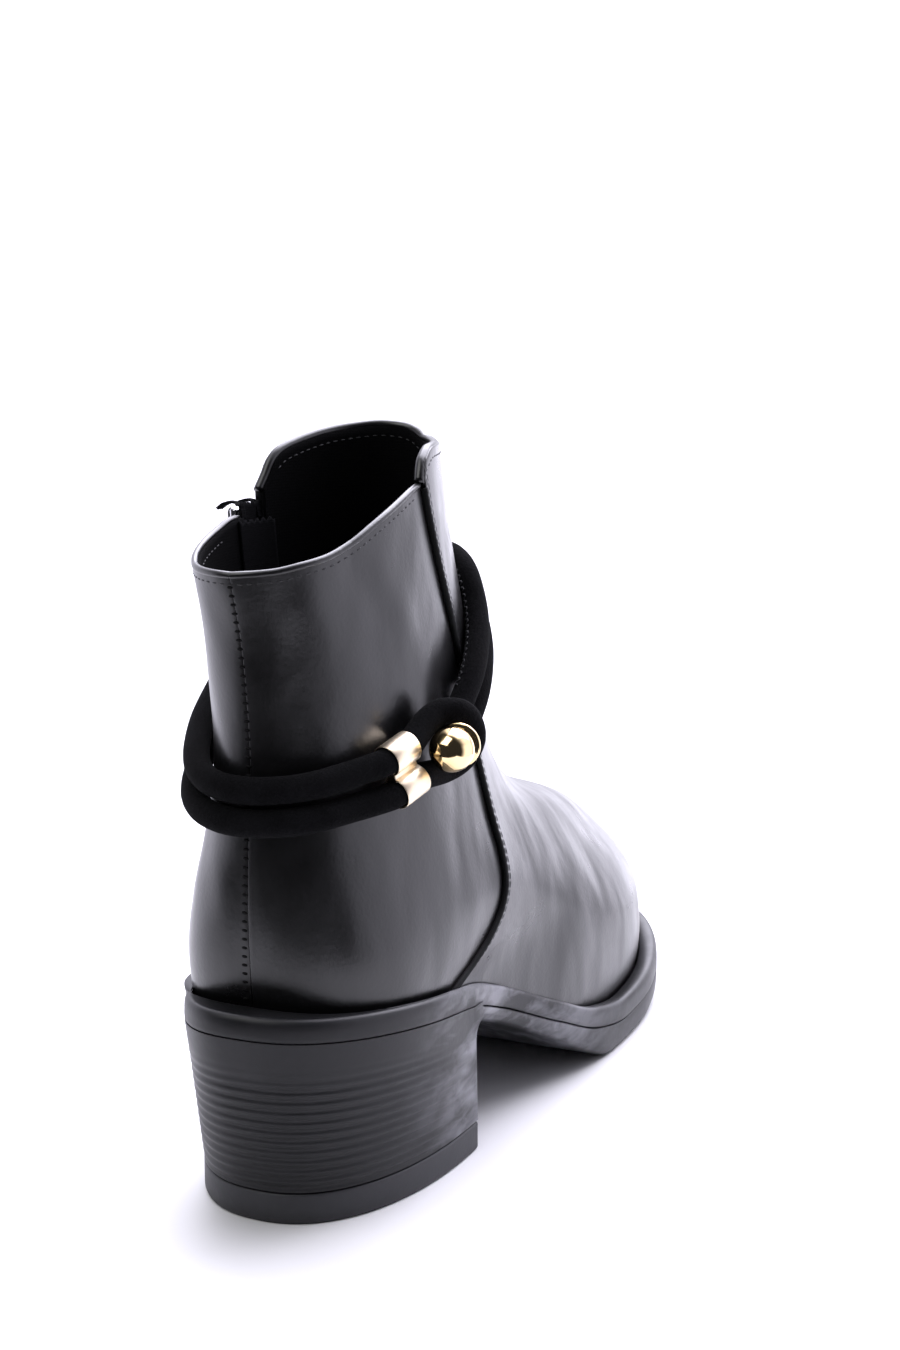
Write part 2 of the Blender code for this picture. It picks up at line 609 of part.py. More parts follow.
def second_strand():
    """The lower strand: the upper one moved sideways on the boot by its pitch, ending behind the loop."""
    rows = []
    for k, r in enumerate(STRAP):
        if k < SECOND_FROM:
            continue
        a, b = STRAP[max(k - 1, 0)], STRAP[min(k + 1, len(STRAP) - 1)]
        along = (last(np.float64(b.turn), np.float64(b.height))
                 - last(np.float64(a.turn), np.float64(a.height)))
        out = outward(np.float64(r.turn), np.float64(r.height))
        side = np.cross(along, out)
        side = side / np.linalg.norm(side) * r.pitch
        if side[2] > 0:
            side = -side
        by_turn = (last(np.float64(r.turn + 0.001), np.float64(r.height))
                   - last(np.float64(r.turn - 0.001), np.float64(r.height))) / 0.002
        by_height = (last(np.float64(r.turn), np.float64(r.height + 0.5))
                     - last(np.float64(r.turn), np.float64(r.height - 0.5)))
        move = np.linalg.lstsq(np.stack([by_turn, by_height], 1), side, rcond=None)[0]
        rows.append(Loop(r.turn + move[0], r.height + move[1], r.lift))
    return rows


def build_cord():
    """Round cord doubled round the ankle, straight where the clamp holds it."""
    spot, axis, across, out = clamp_frame()
    half = 0.5 * CLAMP_LENGTH + 1.0
    high, low = spot + 0.5 * CLAMP_PITCH * across, spot - 0.5 * CLAMP_PITCH * across
    if high[2] < low[2]:
        high, low = low, high
    first = smooth_path(STRAP, ("turn", "height", "lift"), 5.6)
    loop = smooth_path(LOOP, ("turn", "height", "lift"), 2.6)
    second = smooth_path(second_strand(), ("turn", "height", "lift"), 5.6)[::-1]
    path = np.concatenate([first, [high - half * axis, high + half * axis], loop,
                           [low + half * axis, low - half * axis], second])
    return tube("ankle_cord", path, CORD_RADIUS, 9, "cord")


def tube(name, path, radius, sides, stuff):
    """Round tube along a path, its rings carried along without twist."""
    points, faces = [], []
    tangent = np.gradient(path, axis=0)
    tangent = tangent / np.linalg.norm(tangent, axis=1, keepdims=True)
    side = np.cross(tangent[0], [0.0, 0.0, 1.0])
    for p, t in zip(path, tangent):
        side = side - t * side.dot(t)
        side = side / np.linalg.norm(side)
        other = np.cross(t, side)
        for k in range(sides):
            angle = 2 * math.pi * k / sides
            points.append(p + radius * (math.cos(angle) * side + math.sin(angle) * other))
    for s in range(len(path) - 1):
        for k in range(sides):
            m = (k + 1) % sides
            faces.append((s * sides + k, s * sides + m, (s + 1) * sides + m, (s + 1) * sides + k))
    faces.append(tuple(range(sides)))
    faces.append(tuple(reversed(range((len(path) - 1) * sides, len(path) * sides))))
    return add_object(name, points, faces, stuff)


def build_clamp(sides=24, web=2):
    """Metal clamp: two sleeves side by side, joined by a web, each open for one strand."""
    spot, axis, across, out = clamp_frame()
    points, faces = [], []

    def at(sleeve, shell, end, k):
        return ((sleeve * 2 + shell) * 2 + end) * sides + k % sides

    for side in (1.0, -1.0):
        centre = spot + 0.5 * side * CLAMP_PITCH * across
        for radius in (CLAMP_BORE, CLAMP_RADIUS):
            for end in (-0.5, 0.5):
                for k in range(sides):
                    angle = 2 * math.pi * k / sides
                    spoke = -side * math.cos(angle) * across + math.sin(angle) * out
                    points.append(centre + end * CLAMP_LENGTH * axis + radius * spoke)
    for k in range(sides):
        joined = k < web or k >= sides - web
        for sleeve in (0, 1):
            faces.append((at(sleeve, 0, 0, k), at(sleeve, 0, 0, k + 1),
                          at(sleeve, 0, 1, k + 1), at(sleeve, 0, 1, k)))
            if not joined:
                faces.append((at(sleeve, 1, 0, k), at(sleeve, 1, 0, k + 1),
                              at(sleeve, 1, 1, k + 1), at(sleeve, 1, 1, k)))
            for end in (0, 1):
                faces.append((at(sleeve, 0, end, k), at(sleeve, 0, end, k + 1),
                              at(sleeve, 1, end, k + 1), at(sleeve, 1, end, k)))
        if joined:
            for end in (0, 1):
                faces.append((at(0, 1, end, k), at(0, 1, end, k + 1),
                              at(1, 1, end, k + 1), at(1, 1, end, k)))
    for k in (web, sides - web):
        faces.append((at(0, 1, 0, k), at(0, 1, 1, k), at(1, 1, 1, k), at(1, 1, 0, k)))
    return add_object("cord_clamp", points, faces, "gold")


def build_ball():
    """Ball toggle with the cup that ends the strap."""
    turn, z = np.float64(BALL_AT.turn), np.float64(BALL_AT.height)
    spot, out = on_last(turn, z, np.float64(BALL_AT.lift)), outward(turn, z)
    forward = last(turn + 0.01, z) - last(turn - 0.01, z)
    forward = forward / np.linalg.norm(forward)
    axis = forward - BALL_INWARD * out + BALL_UP * np.array([0.0, 0.0, 1.0])
    axis = axis / np.linalg.norm(axis)
    steps = 9
    stop = math.radians(40)
    profile = [(0.0, -BALL_RADIUS)]
    for k in range(1, steps + 1):
        angle = math.pi - (math.pi - stop) * k / steps
        profile.append((BALL_RADIUS * math.sin(angle), BALL_RADIUS * math.cos(angle)))
    profile += [(CUP_RADIUS - 0.4, 4.5), (CUP_RADIUS, 4.9), (CUP_RADIUS - 0.3, 5.8), (CUP_RADIUS - 0.7, 6.0),
                (0.0, 6.0)]
    revolve("ball_toggle", spot, axis, profile, 20, "gold")


def main():
    """Clear the scene and build every piece."""
    for obj in list(bpy.data.objects):
        bpy.data.objects.remove(obj, do_unlink=True)
    build_outsole()
    build_top_lift()
    build_rand()
    build_insole()
    slot_end = build_upper()
    pivot, side = build_zip(slot_end)
    build_cord()
    build_clamp()
    build_ball()
    print("zip pull hinge (m)", [round(float(v), 6) for v in (pivot - [ORIGIN_X, 0, 0]) * MM],
          "axis", [round(float(v), 5) for v in side])


main()
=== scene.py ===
"""Looks of the right mid heel ankle boot: leather panels, rubber sole, zip, cord and metal fittings.

Sizes are in millimetres in the maker's frame: x from the back of the heel to the toe, +y the inner
side, -y the outer side, z up from the ground. Meshes are written in metres around the middle of the
heel's ground face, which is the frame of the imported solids.
"""
import logging
import math
from dataclasses import dataclass
from enum import Enum
from typing import Callable, NamedTuple, Sequence, Union

import bmesh
import bpy
import numpy as np
from mathutils import Matrix, Vector

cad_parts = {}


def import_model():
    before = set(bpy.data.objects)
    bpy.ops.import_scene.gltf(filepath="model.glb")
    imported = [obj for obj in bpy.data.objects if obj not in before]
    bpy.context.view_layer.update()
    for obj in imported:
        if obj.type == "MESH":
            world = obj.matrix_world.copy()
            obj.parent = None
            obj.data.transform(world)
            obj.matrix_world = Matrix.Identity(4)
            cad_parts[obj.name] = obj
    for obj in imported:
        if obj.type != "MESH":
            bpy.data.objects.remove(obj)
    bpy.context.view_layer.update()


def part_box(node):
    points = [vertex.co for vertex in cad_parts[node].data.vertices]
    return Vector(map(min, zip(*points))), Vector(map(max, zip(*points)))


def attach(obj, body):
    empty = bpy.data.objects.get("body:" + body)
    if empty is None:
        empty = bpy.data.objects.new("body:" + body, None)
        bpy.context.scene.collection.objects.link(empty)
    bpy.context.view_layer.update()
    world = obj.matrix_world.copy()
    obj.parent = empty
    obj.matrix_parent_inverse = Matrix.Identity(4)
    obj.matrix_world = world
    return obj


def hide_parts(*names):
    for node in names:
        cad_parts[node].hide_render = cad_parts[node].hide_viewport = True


LOG = logging.getLogger("ankle_boot")
MM = 0.001
WELD = 2e-6
ORIGIN_X = 39.0
UP = (0.0, 0.0, 1.0)
Array = np.ndarray
Turn = Callable[[Array], Array]
Band = tuple[float, float]
Triple = tuple[float, float, float]
Mesh = bmesh.types.BMesh
Piece = bpy.types.Object
Socket = bpy.types.NodeSocket
Fill = Callable[["Wiring", Socket, Socket], dict[str, Socket]]


class Body(Enum):
    """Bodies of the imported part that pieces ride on."""

    BOOT = "boot"
    PULL = "pull"


class Side(Enum):
    """Sides of the foot."""

    LATERAL = "lateral"
    MEDIAL = "medial"


class Relief(Enum):
    """Kinds of fine surface."""

    HIDE = "hide"
    RUBBER = "rubber"
    NAP = "nap"
    WEAVE = "weave"
    BRUSHED = "brushed"


# Tables of the form, a row for each section or fold
class Section(NamedTuple):
    """Horizontal section: lengths along the boot, half widths, swing, outline powers and waist."""

    height: float
    back: float
    front: float
    widest: float
    lateral: float
    medial: float
    swing: float
    back_power: float
    medial_power: float
    front_power: float
    waist: float


class Row(NamedTuple):
    """Height of the sole at a length."""

    x: float
    z: float


class Seam(NamedTuple):
    """Length of the vamp's two edges at a height."""

    height: float
    lateral: float
    medial: float


class Rim(NamedTuple):
    """Collar height at a turn: back 0, lateral 0.25, front 0.5, medial 0.75."""

    turn: float
    height: float


class Strap(NamedTuple):
    """Place of the doubled cord on the upper, with the distance between strands and the lift."""

    turn: float
    height: float
    pitch: float
    lift: float


class Loop(NamedTuple):
    """Place off the upper."""

    turn: float
    height: float
    lift: float


class Crease(NamedTuple):
    """Soft trough (positive depth) or ridge (negative depth) between two places on the upper."""

    turn: float
    height: float
    end_turn: float
    end_height: float
    width: float
    depth: float


class Stop(NamedTuple):
    """Place off the upper with its number along a cord."""

    number: int
    turn: float
    height: float
    lift: float


class Thread(NamedTuple):
    """Sizes of a row of stitches."""

    pitch: float
    length: float
    width: float
    height: float


class Hem(NamedTuple):
    """Stretch of the collar: its rim, first and last turn, lift off the last and radius of its roll."""

    rim: tuple[Rim, ...]
    first: float
    final: float
    lift: float
    radius: float = 0.0


class SeamLine(NamedTuple):
    """Row of stitches beside an edge of the vamp."""

    side: Side
    move: float
    low: float
    top: float
    lift: float


LAST = (
    Section(5, 13.0, 241, 166, 38.5, 39.5, 8, 3.1, 3.1, 2.35, 0.27),
    Section(22, 11.5, 246, 168, 40.5, 41.0, 8, 3.1, 3.1, 2.35, 0.27),
    Section(36, 10.5, 245, 160, 40.5, 41.0, 8, 3.1, 3.1, 2.35, 0.27),
    Section(48, 9.6, 238, 140, 38.5, 39.0, 8, 3.1, 3.1, 2.32, 0.20),
    Section(56, 9.0, 229, 112, 36.6, 36.6, 8, 3.1, 3.1, 2.30, 0.10),
    Section(63, 8.2, 218, 88, 35.0, 34.8, 7, 3.0, 3.0, 2.25, 0.04),
    Section(70, 7.6, 203, 76, 33.8, 33.6, 6, 2.8, 2.8, 2.15, 0.0),
    Section(76, 7.3, 183, 69, 32.8, 32.4, 6, 2.6, 2.6, 2.10, 0.0),
    Section(84, 7.3, 158, 64, 31.0, 30.4, 5, 2.5, 2.5, 2.05, 0.0),
    Section(96, 8.0, 139, 61, 28.8, 27.6, 4, 2.3, 2.3, 2.0, 0.0),
    Section(115, 9.6, 123, 59, 26.6, 25.6, 3, 2.1, 2.1, 2.0, 0.0),
    Section(140, 7.4, 111, 56, 25.2, 26.4, 2, 2.05, 2.05, 2.0, 0.0),
    Section(165, 1.0, 103, 52, 23.8, 26.6, 2, 2.05, 2.05, 2.0, 0.0),
    Section(197, -7.0, 99, 47, 21.7, 26.4, 2, 2.05, 2.05, 2.0, 0.0),
)
SOLE = Section(0, -2.6, 252, 168, 45.2, 45.2, 5, 2.8, 2.25, 2.35, 0.24)
LIFT = Section(0, 7.5, 78, 70.7, 33.2, 33.2, 0, 2.3, 2.3, 2.0, 0.0)
WAIST_X, WAIST_SPREAD, HEEL_SPREAD = 88.0, 42.0, 25.0
LAST_HEEL_SHIFT, SOLE_HEEL_SHIFT = 0.5, 1.5
JOINT = (Row(-6, 51.4), Row(0, 50.6), Row(35, 46.6), Row(70, 40.6), Row(90, 34.0), Row(120, 21.0),
         Row(145, 11.4), Row(168, 7.8), Row(190, 8.0), Row(215, 9.8), Row(238, 13.4), Row(260, 18.0))
UNDERSIDE = (Row(50, 38.6), Row(70, 36.0), Row(90, 29.2), Row(120, 15.0), Row(140, 4.6), Row(154, 0.0),
             Row(186, 0.0), Row(205, 1.6), Row(225, 4.8), Row(240, 8.2), Row(256, 12.4))
SEAM = (Seam(44, 52, 50), Seam(48, 57, 54), Seam(52, 68, 63), Seam(57, 78, 71), Seam(64, 86, 76),
        Seam(72, 90, 79), Seam(82, 92, 80), Seam(93, 92, 79), Seam(106, 90, 76), Seam(122, 84, 72),
        Seam(142, 76, 67), Seam(163, 66, 63), Seam(180, 60, 61), Seam(197, 57, 60))
LATERAL_RIM = (Rim(0.0, 163.2), Rim(0.065, 164.0), Rim(0.10, 165.2), Rim(0.132, 166.6), Rim(0.163, 169.2),
               Rim(0.195, 173.0), Rim(0.23, 176.8), Rim(0.262, 180.0), Rim(0.285, 181.4))
VAMP_RIM = (Rim(0.281, 181.4), Rim(0.287, 184.6), Rim(0.296, 187.6), Rim(0.32, 190.0), Rim(0.38, 190.4),
            Rim(0.438, 191.2), Rim(0.47, 193.2), Rim(0.50, 194.3), Rim(0.54, 194.8), Rim(0.58, 194.2),
            Rim(0.615, 193.2), Rim(0.654, 191.0), Rim(0.682, 188.6), Rim(0.695, 186.0), Rim(0.705, 182.2),
            Rim(0.716, 178.4))
MEDIAL_RIM = (Rim(0.74, 172.4), Rim(0.765, 171.8), Rim(0.79, 170.0), Rim(0.829, 167.5), Rim(0.864, 165.6),
              Rim(0.90, 164.0), Rim(1.0, 163.2))
STRAP = (Strap(0.243, 118.6, 7.3, 4.4), Strap(0.252, 119.0, 7.3, 4.0), Strap(0.262, 119.8, 7.3, 3.8),
         Strap(0.271, 121.8, 7.3, 3.9), Strap(0.284, 125.4, 7.3, 4.5), Strap(0.300, 129.6, 7.3, 5.2),
         Strap(0.322, 134.4, 7.4, 5.4), Strap(0.346, 139.4, 7.4, 5.4), Strap(0.368, 144.6, 7.4, 5.4),
         Strap(0.388, 149.4, 7.4, 5.4), Strap(0.415, 154.0, 7.4, 5.4),
         Strap(0.455, 157.0, 7.4, 5.4), Strap(0.50, 157.6, 7.4, 5.4), Strap(0.56, 155.0, 7.4, 5.4),
         Strap(0.64, 148.0, 7.4, 5.4), Strap(0.72, 137.0, 7.4, 5.4), Strap(0.80, 125.0, 7.6, 5.0),
         Strap(0.87, 116.6, 7.8, 4.4), Strap(0.92, 112.6, 8.0, 4.2), Strap(0.96, 111.0, 8.0, 4.2),
         Strap(1.0, 110.5, 8.0, 4.2), Strap(1.05, 111.0, 8.1, 4.2), Strap(1.10, 112.4, 8.3, 4.4))
LOOP = (Loop(0.205, 121.4, 4.6), Loop(0.220, 123.6, 5.2), Loop(0.230, 124.5, 7.2),
        Loop(0.236, 124.2, 9.6), Loop(0.244, 121.6, 11.0), Loop(0.248, 117.4, 11.2),
        Loop(0.248, 112.8, 9.4), Loop(0.242, 109.4, 6.4), Loop(0.229, 108.4, 4.4))
CREASES = (
    Crease(0.09, 160, 0.17, 132, 6.0, -0.35), Crease(0.15, 168, 0.20, 146, 4.5, 0.45),
    Crease(0.19, 171, 0.23, 140, 5.0, -0.40), Crease(0.07, 138, 0.16, 118, 6.0, 0.35),
    Crease(0.30, 78, 0.40, 58, 6.5, 0.55), Crease(0.33, 86, 0.43, 68, 6.0, -0.45),
    Crease(0.36, 92, 0.46, 77, 5.0, 0.50), Crease(0.31, 62, 0.38, 44, 7.0, -0.40),
    Crease(0.64, 92, 0.54, 77, 5.0, 0.50), Crease(0.70, 80, 0.60, 58, 6.5, 0.50),
    Crease(0.37, 124, 0.37, 170, 15.0, -0.9), Crease(0.90, 160, 0.83, 130, 6.0, 0.35),
    Crease(0.95, 100, 0.86, 84, 6.0, 0.30),
)


def blend(rows: Sequence[NamedTuple], key: str, value: str, at: Union[float, Array],
          beyond: bool = False) -> Array:
    """Monotone cubic through one column of a table, so it never overshoots its rows.

    Args:
        rows: the table.
        key: column that runs along the table.
        value: column that is wanted.
        at: where it is wanted.
        beyond: go on in a straight line past the ends instead of stopping there.

    Returns:
        The column's values.
    """
    xs = np.array([getattr(r, key) for r in rows], float)
    ys = np.array([getattr(r, value) for r in rows], float)
    step, rise = np.diff(xs), np.diff(ys) / np.diff(xs)
    slope = np.concatenate([rise[:1], np.zeros(len(rise) - 1), rise[-1:]])
    for k in range(1, len(rise)):
        before, after = rise[k - 1], rise[k]
        u, v = 2 * step[k] + step[k - 1], step[k] + 2 * step[k - 1]
        slope[k] = (u + v) / (u / before + v / after) if before * after > 0 else 0.0
    raw = np.asarray(at, float)
    at = np.clip(raw, xs[0], xs[-1])
    i = np.clip(np.searchsorted(xs, at) - 1, 0, len(step) - 1)
    t = (at - xs[i]) / step[i]
    found = ((1 + 2 * t) * (1 - t) ** 2 * ys[i] + t * (1 - t) ** 2 * step[i] * slope[i]
             + t * t * (3 - 2 * t) * ys[i + 1] + t * t * (t - 1) * step[i] * slope[i + 1])
    if beyond:
        found = found + np.where(raw > xs[-1], (raw - xs[-1]) * slope[-1], (raw - at) * slope[0])
    return found


def outline(s: Section, turn: Array, shift: float) -> tuple[Array, Array]:
    """Plan of a section.

    Args:
        s: the section.
        turn: places round it.
        shift: sideways move of its heel end.

    Returns:
        The x and y of each place.
    """
    angle = 2 * math.pi * np.asarray(turn, float)
    c, sn = np.cos(angle), np.sin(angle)
    behind = c >= 0
    power = np.where(behind, np.where(sn >= 0, s.back_power, s.medial_power), s.front_power)
    run = np.where(behind, s.back - s.widest, s.front - s.widest)
    x = s.widest + run * np.abs(c) ** (2 / power)
    half = np.where(sn >= 0, s.lateral, s.medial) * np.abs(sn) ** (2 / power)
    half = half * (1 - s.waist * np.exp(-((x - WAIST_X) / WAIST_SPREAD) ** 2))
    along = np.clip((x - s.back) / (s.front - s.back), 0, 1)
    y = -np.sign(sn) * half + s.swing * along ** 2 + shift * np.exp(-((x - s.back) / HEEL_SPREAD) ** 2)
    return x, y


def turn_at(s: Section, x: Array, side: Side) -> Array:
    """Turn at which a section reaches a length, on one side.

    Args:
        s: the section.
        x: the length or lengths.
        side: the side of the foot.

    Returns:
        The turns.
    """
    power = s.medial_power if side is Side.MEDIAL else s.back_power
    near = np.clip((s.widest - x) / (s.widest - s.back), 0, 1) ** (power / 2)
    far = np.clip((x - s.widest) / (s.front - s.widest), 0, 1) ** (s.front_power / 2)
    turn = np.arccos(np.where(x < s.widest, near, -far)) / (2 * math.pi)
    return 1 - turn if side is Side.MEDIAL else turn


def joint(x: Array) -> Array:
    """Height of the sole's top face, where the rand sits."""
    return blend(JOINT, "x", "z", x)


def underside(x: Array) -> Array:
    """Height of the sole's ground side in front of the heel."""
    return blend(UNDERSIDE, "x", "z", x)


def sole_plan(turn: Array, grow: Union[float, Array] = 0.0) -> tuple[Array, Array]:
    """Plan of the sole's edge, grown outward by a distance."""
    s = SOLE._replace(back=SOLE.back - grow, front=SOLE.front + grow,
                      lateral=SOLE.lateral + grow, medial=SOLE.medial + grow)
    return outline(s, turn, SOLE_HEEL_SHIFT)


def unit(v: Array) -> Array:
    """Vectors made one long."""
    return v / np.linalg.norm(v, axis=-1, keepdims=True)


def run_length(path: Array) -> Array:
    """Distance along a path at each of its points."""
    return np.concatenate([[0.0], np.cumsum(np.linalg.norm(np.diff(path, axis=0), axis=1))])


def even(path: Array, count: int) -> Array:
    """Points spread evenly along a path.

    Args:
        path: points, with further columns after the first three where some are carried along.
        count: how many are wanted.

    Returns:
        The points with their columns.
    """
    length = run_length(path[:, :3])
    marks = np.linspace(0, length[-1], count)
    return np.stack([np.interp(marks, length, path[:, k]) for k in range(path.shape[1])], -1)


def fade(value: Array, low: float, high: float) -> Array:
    """Smooth ramp from 0 at low to 1 at high."""
    t = np.clip((np.asarray(value, float) - low) / (high - low), 0, 1)
    return t * t * (3 - 2 * t)


# The last
@dataclass
class Last:
    """Outer face of the upper, with its rows rounded into each other."""

    blur: float = 3.0
    turn_step: float = 2e-4
    height_step: float = 0.4
    level_step: float = 0.01

    def section(self, z: Array) -> Section:
        """Section at a height, averaged a little up and down.

        Args:
            z: the height or heights.

        Returns:
            A section whose fields have the shape of the heights.
        """
        steps = np.linspace(-2, 2, 7)
        weight = np.exp(-0.5 * steps ** 2)
        weight = weight / weight.sum()
        values = {}
        for name in Section._fields:
            values[name] = sum(w * blend(LAST, "height", name, z + self.blur * s, beyond=True)
                               for w, s in zip(weight, steps))
        return Section(**values)

    def point(self, turn: Array, z: Array) -> Array:
        """Point on the face."""
        turn, z = np.broadcast_arrays(np.asarray(turn, float), np.asarray(z, float))
        x, y = outline(self.section(z), turn, LAST_HEEL_SHIFT)
        return np.stack([x, y, z], -1)

    def level(self, turn: Array, z: Array, step: float) -> Array:
        """Way round the boot at a place, from a step of turn before it to one after it."""
        return self.point(turn + step, z) - self.point(turn - step, z)

    def normal(self, turn: Array, z: Array) -> Array:
        """Unit normal of the face, outward."""
        turn, z = np.asarray(turn, float), np.asarray(z, float)
        up = self.point(turn, z + self.height_step) - self.point(turn, z - self.height_step)
        return unit(np.cross(self.level(turn, z, self.turn_step), up))

    def lifted(self, turn: Array, z: Array, lift: Union[float, Array]) -> Array:
        """Point a given distance off the face."""
        return self.point(turn, z) + self.normal(turn, z) * np.asarray(lift, float)[..., None]

    def seam(self, side: Side, move: float = 0.0) -> Turn:
        """Turn of the vamp's edge as a function of height, moved along the boot."""
        return lambda z: turn_at(self.section(z), blend(SEAM, "height", side.value, z) + move, side)

    def foot(self, turn_of: Turn, rise: float, count: int) -> Array:
        """Heights at which columns meet the sole's top face plus a rise.

        Args:
            turn_of: turn of each column at its own height.
            rise: distance above the sole's top face.
            count: number of columns.

        Returns:
            A height for each column.
        """
        z = np.full(count, 30.0)
        for _ in range(50):
            z = z + 0.5 * (joint(self.point(turn_of(z), z)[..., 0]) + rise - z)
        return z

    def skin(self, turn: Array, z: Array) -> tuple[Array, Array]:
        """Points of the face moved in and out by the table of creases.

        Args:
            turn: places round the boot.
            z: their heights.

        Returns:
            The points and the normals of the plain face there.
        """
        points, normals = self.point(turn, z), self.normal(turn, z)
        flat = points.reshape(-1, 3)
        move = np.zeros(len(flat))
        share = np.linspace(0, 1, 24)
        for c in CREASES:
            line = self.point(np.linspace(c.turn, c.end_turn, 24), np.linspace(c.height, c.end_height, 24))
            away = np.linalg.norm(flat[:, None] - line[None], axis=2)
            ends = np.sin(math.pi * np.clip(share[away.argmin(axis=1)], 0.02, 0.98)) ** 0.7
            move -= c.depth * ends * np.exp(-(away.min(axis=1) / c.width) ** 2)
        return points + normals * move.reshape(points.shape[:-1])[..., None], normals


# Mesh tools
def row_frame(points: Array) -> Array:
    """Millimetres of the maker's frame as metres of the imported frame."""
    return (np.asarray(points, float) - (ORIGIN_X, 0, 0)) * MM


def grid(bm: Mesh, points: Array) -> list[bmesh.types.BMVert]:
    """Add a grid of quads shaped by an array of points.

    Args:
        bm: mesh that takes the grid.
        points: array of columns, rows and three coordinates, in millimetres.

    Returns:
        The new vertices, row by row.
    """
    columns, rows = points.shape[:2]
    made = bmesh.ops.create_grid(bm, x_segments=columns - 1, y_segments=rows - 1, size=1.0)["verts"]
    for vert, place in zip(made, row_frame(points).transpose(1, 0, 2).reshape(-1, 3)):
        vert.co = place
    return made


def closed(bm: Mesh, skins: Sequence[Array]) -> None:
    """Add two facing grids of points as one closed sheet.

    Args:
        bm: mesh that takes it.
        skins: the two grids, with the same number of points.
    """
    verts = grid(bm, skins[0]) + grid(bm, skins[1])
    rim = dict.fromkeys(e for v in verts for e in v.link_edges if e.is_boundary)
    bmesh.ops.bridge_loops(bm, edges=list(rim))
    faces = dict.fromkeys(f for v in verts for f in v.link_faces)
    bmesh.ops.recalc_face_normals(bm, faces=list(faces))


def weld(bm: Mesh) -> None:
    """Merge doubled points and turn the faces outward."""
    bmesh.ops.remove_doubles(bm, verts=bm.verts, dist=WELD)
    bmesh.ops.recalc_face_normals(bm, faces=bm.faces)


def solid(bm: Mesh, points: Array) -> None:
    """Add a grid of points that runs round into itself as one closed shape, its open ends filled.

    Args:
        bm: mesh that takes it, closed so far.
        points: the grid, as for grid, with its first line again at the end.
    """
    bmesh.ops.remove_doubles(bm, verts=grid(bm, points), dist=WELD)
    bmesh.ops.holes_fill(bm, edges=[e for e in bm.edges if e.is_boundary], sides=0)
    weld(bm)


def tube(bm: Mesh, path: Array, radius: Union[float, Array], sides: int, side: Array) -> None:
    """Add a round tube along a path, its rings carried along without twist, its ends closed.

    Args:
        bm: mesh that takes it.
        path: points of its middle line.
        radius: its radius, the same all along or one for each point.
        sides: corners of each ring.
        side: a way that isn't along the path's start.
    """
    angle = np.linspace(0, 2 * math.pi, sides + 1)[:, None]
    rings = []
    for p, t, r in zip(path, unit(np.gradient(path, axis=0)), np.broadcast_to(radius, len(path))):
        side = unit(side - t * side.dot(t))
        rings.append(p + r * (np.cos(angle) * side + np.sin(angle) * np.cross(t, side)))
    solid(bm, np.array(rings))


def lathe(bm: Mesh, profile: Sequence[Band], spot: Array, ways: Sequence[Array], sides: int) -> None:
    """Add a profile turned round an axis.

    Args:
        bm: mesh that takes it.
        profile: radius and distance along the axis of each ring.
        spot: where the axis starts.
        ways: the way along the axis and two across it.
        sides: corners of each ring.
    """
    axis, side, other = ways
    angle = np.linspace(0, 2 * math.pi, sides + 1)[:, None]
    spoke = np.cos(angle) * side + np.sin(angle) * other
    solid(bm, np.array([spot + r * spoke + h * axis for r, h in profile]))


def as_matrix(spot: Array, ways: Sequence[Array], scale: Sequence[float]) -> Matrix:
    """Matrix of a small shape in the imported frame.

    Args:
        spot: its place in millimetres.
        ways: its three axes.
        scale: its size along each, in millimetres.

    Returns:
        The matrix in metres.
    """
    columns = [np.asarray(way) * size * MM for way, size in zip(ways, scale)] + [row_frame(spot)]
    return Matrix(np.stack(columns, 1).tolist() + [[0, 0, 0, 1]])


def block(bm: Mesh, matrix: Matrix, rounding: float, segments: int) -> None:
    """Add a box with rounded edges.

    Args:
        bm: mesh that takes it.
        matrix: place and size of the box.
        rounding: radius of its edges in millimetres.
        segments: steps across an edge.
    """
    verts = bmesh.ops.create_cube(bm, size=1.0, matrix=matrix)["verts"]
    edges = dict.fromkeys(e for v in verts for e in v.link_edges)
    bmesh.ops.bevel(bm, geom=list(edges), offset=rounding * MM, affect="EDGES", segments=segments,
                    profile=0.5, material=-1)


def stitch(bm: Mesh, a: Array, b: Array, out: Array, width: float, height: float) -> None:
    """Add one small pillow of thread between two points.

    Args:
        bm: mesh that takes it.
        a: where the needle comes up.
        b: where it goes down.
        out: the way off the surface.
        width: across the stitch.
        height: off the surface.
    """
    along = unit(b - a)
    side = unit(np.cross(out, along))
    scale = (0.5 * float(np.linalg.norm(b - a)), 0.5 * width, 0.5 * height)
    matrix = as_matrix(0.5 * (a + b), (along, side, np.cross(along, side)), scale)
    bmesh.ops.create_icosphere(bm, subdivisions=2, radius=1.0, matrix=matrix)


def sew(bm: Mesh, path: Array, out: Array, thread: Thread, across: bool = False) -> None:
    """Add a row of stitches along a path.

    Args:
        bm: mesh that takes them.
        path: points on the surface.
        out: the surface's normals there.
        thread: sizes of the stitches.
        across: lay each stitch across the path instead of along it.
    """
    count = max(2, int(run_length(path)[-1] / thread.pitch))
    spots = even(np.hstack([path, out]), count)
    for spot, way in zip(spots, unit(np.gradient(spots[:, :3], axis=0))):
        normal = unit(spot[3:])
        half = 0.5 * thread.length * (unit(np.cross(normal, way)) if across else way)
        stitch(bm, spot[:3] - half, spot[:3] + half, normal, thread.width, thread.height)


def placed(name: str, data: bpy.types.ID) -> Piece:
    """New object in the scene around a mesh, a lamp or a camera."""
    made = bpy.data.objects.new(name, data)
    bpy.context.scene.collection.objects.link(made)
    return made


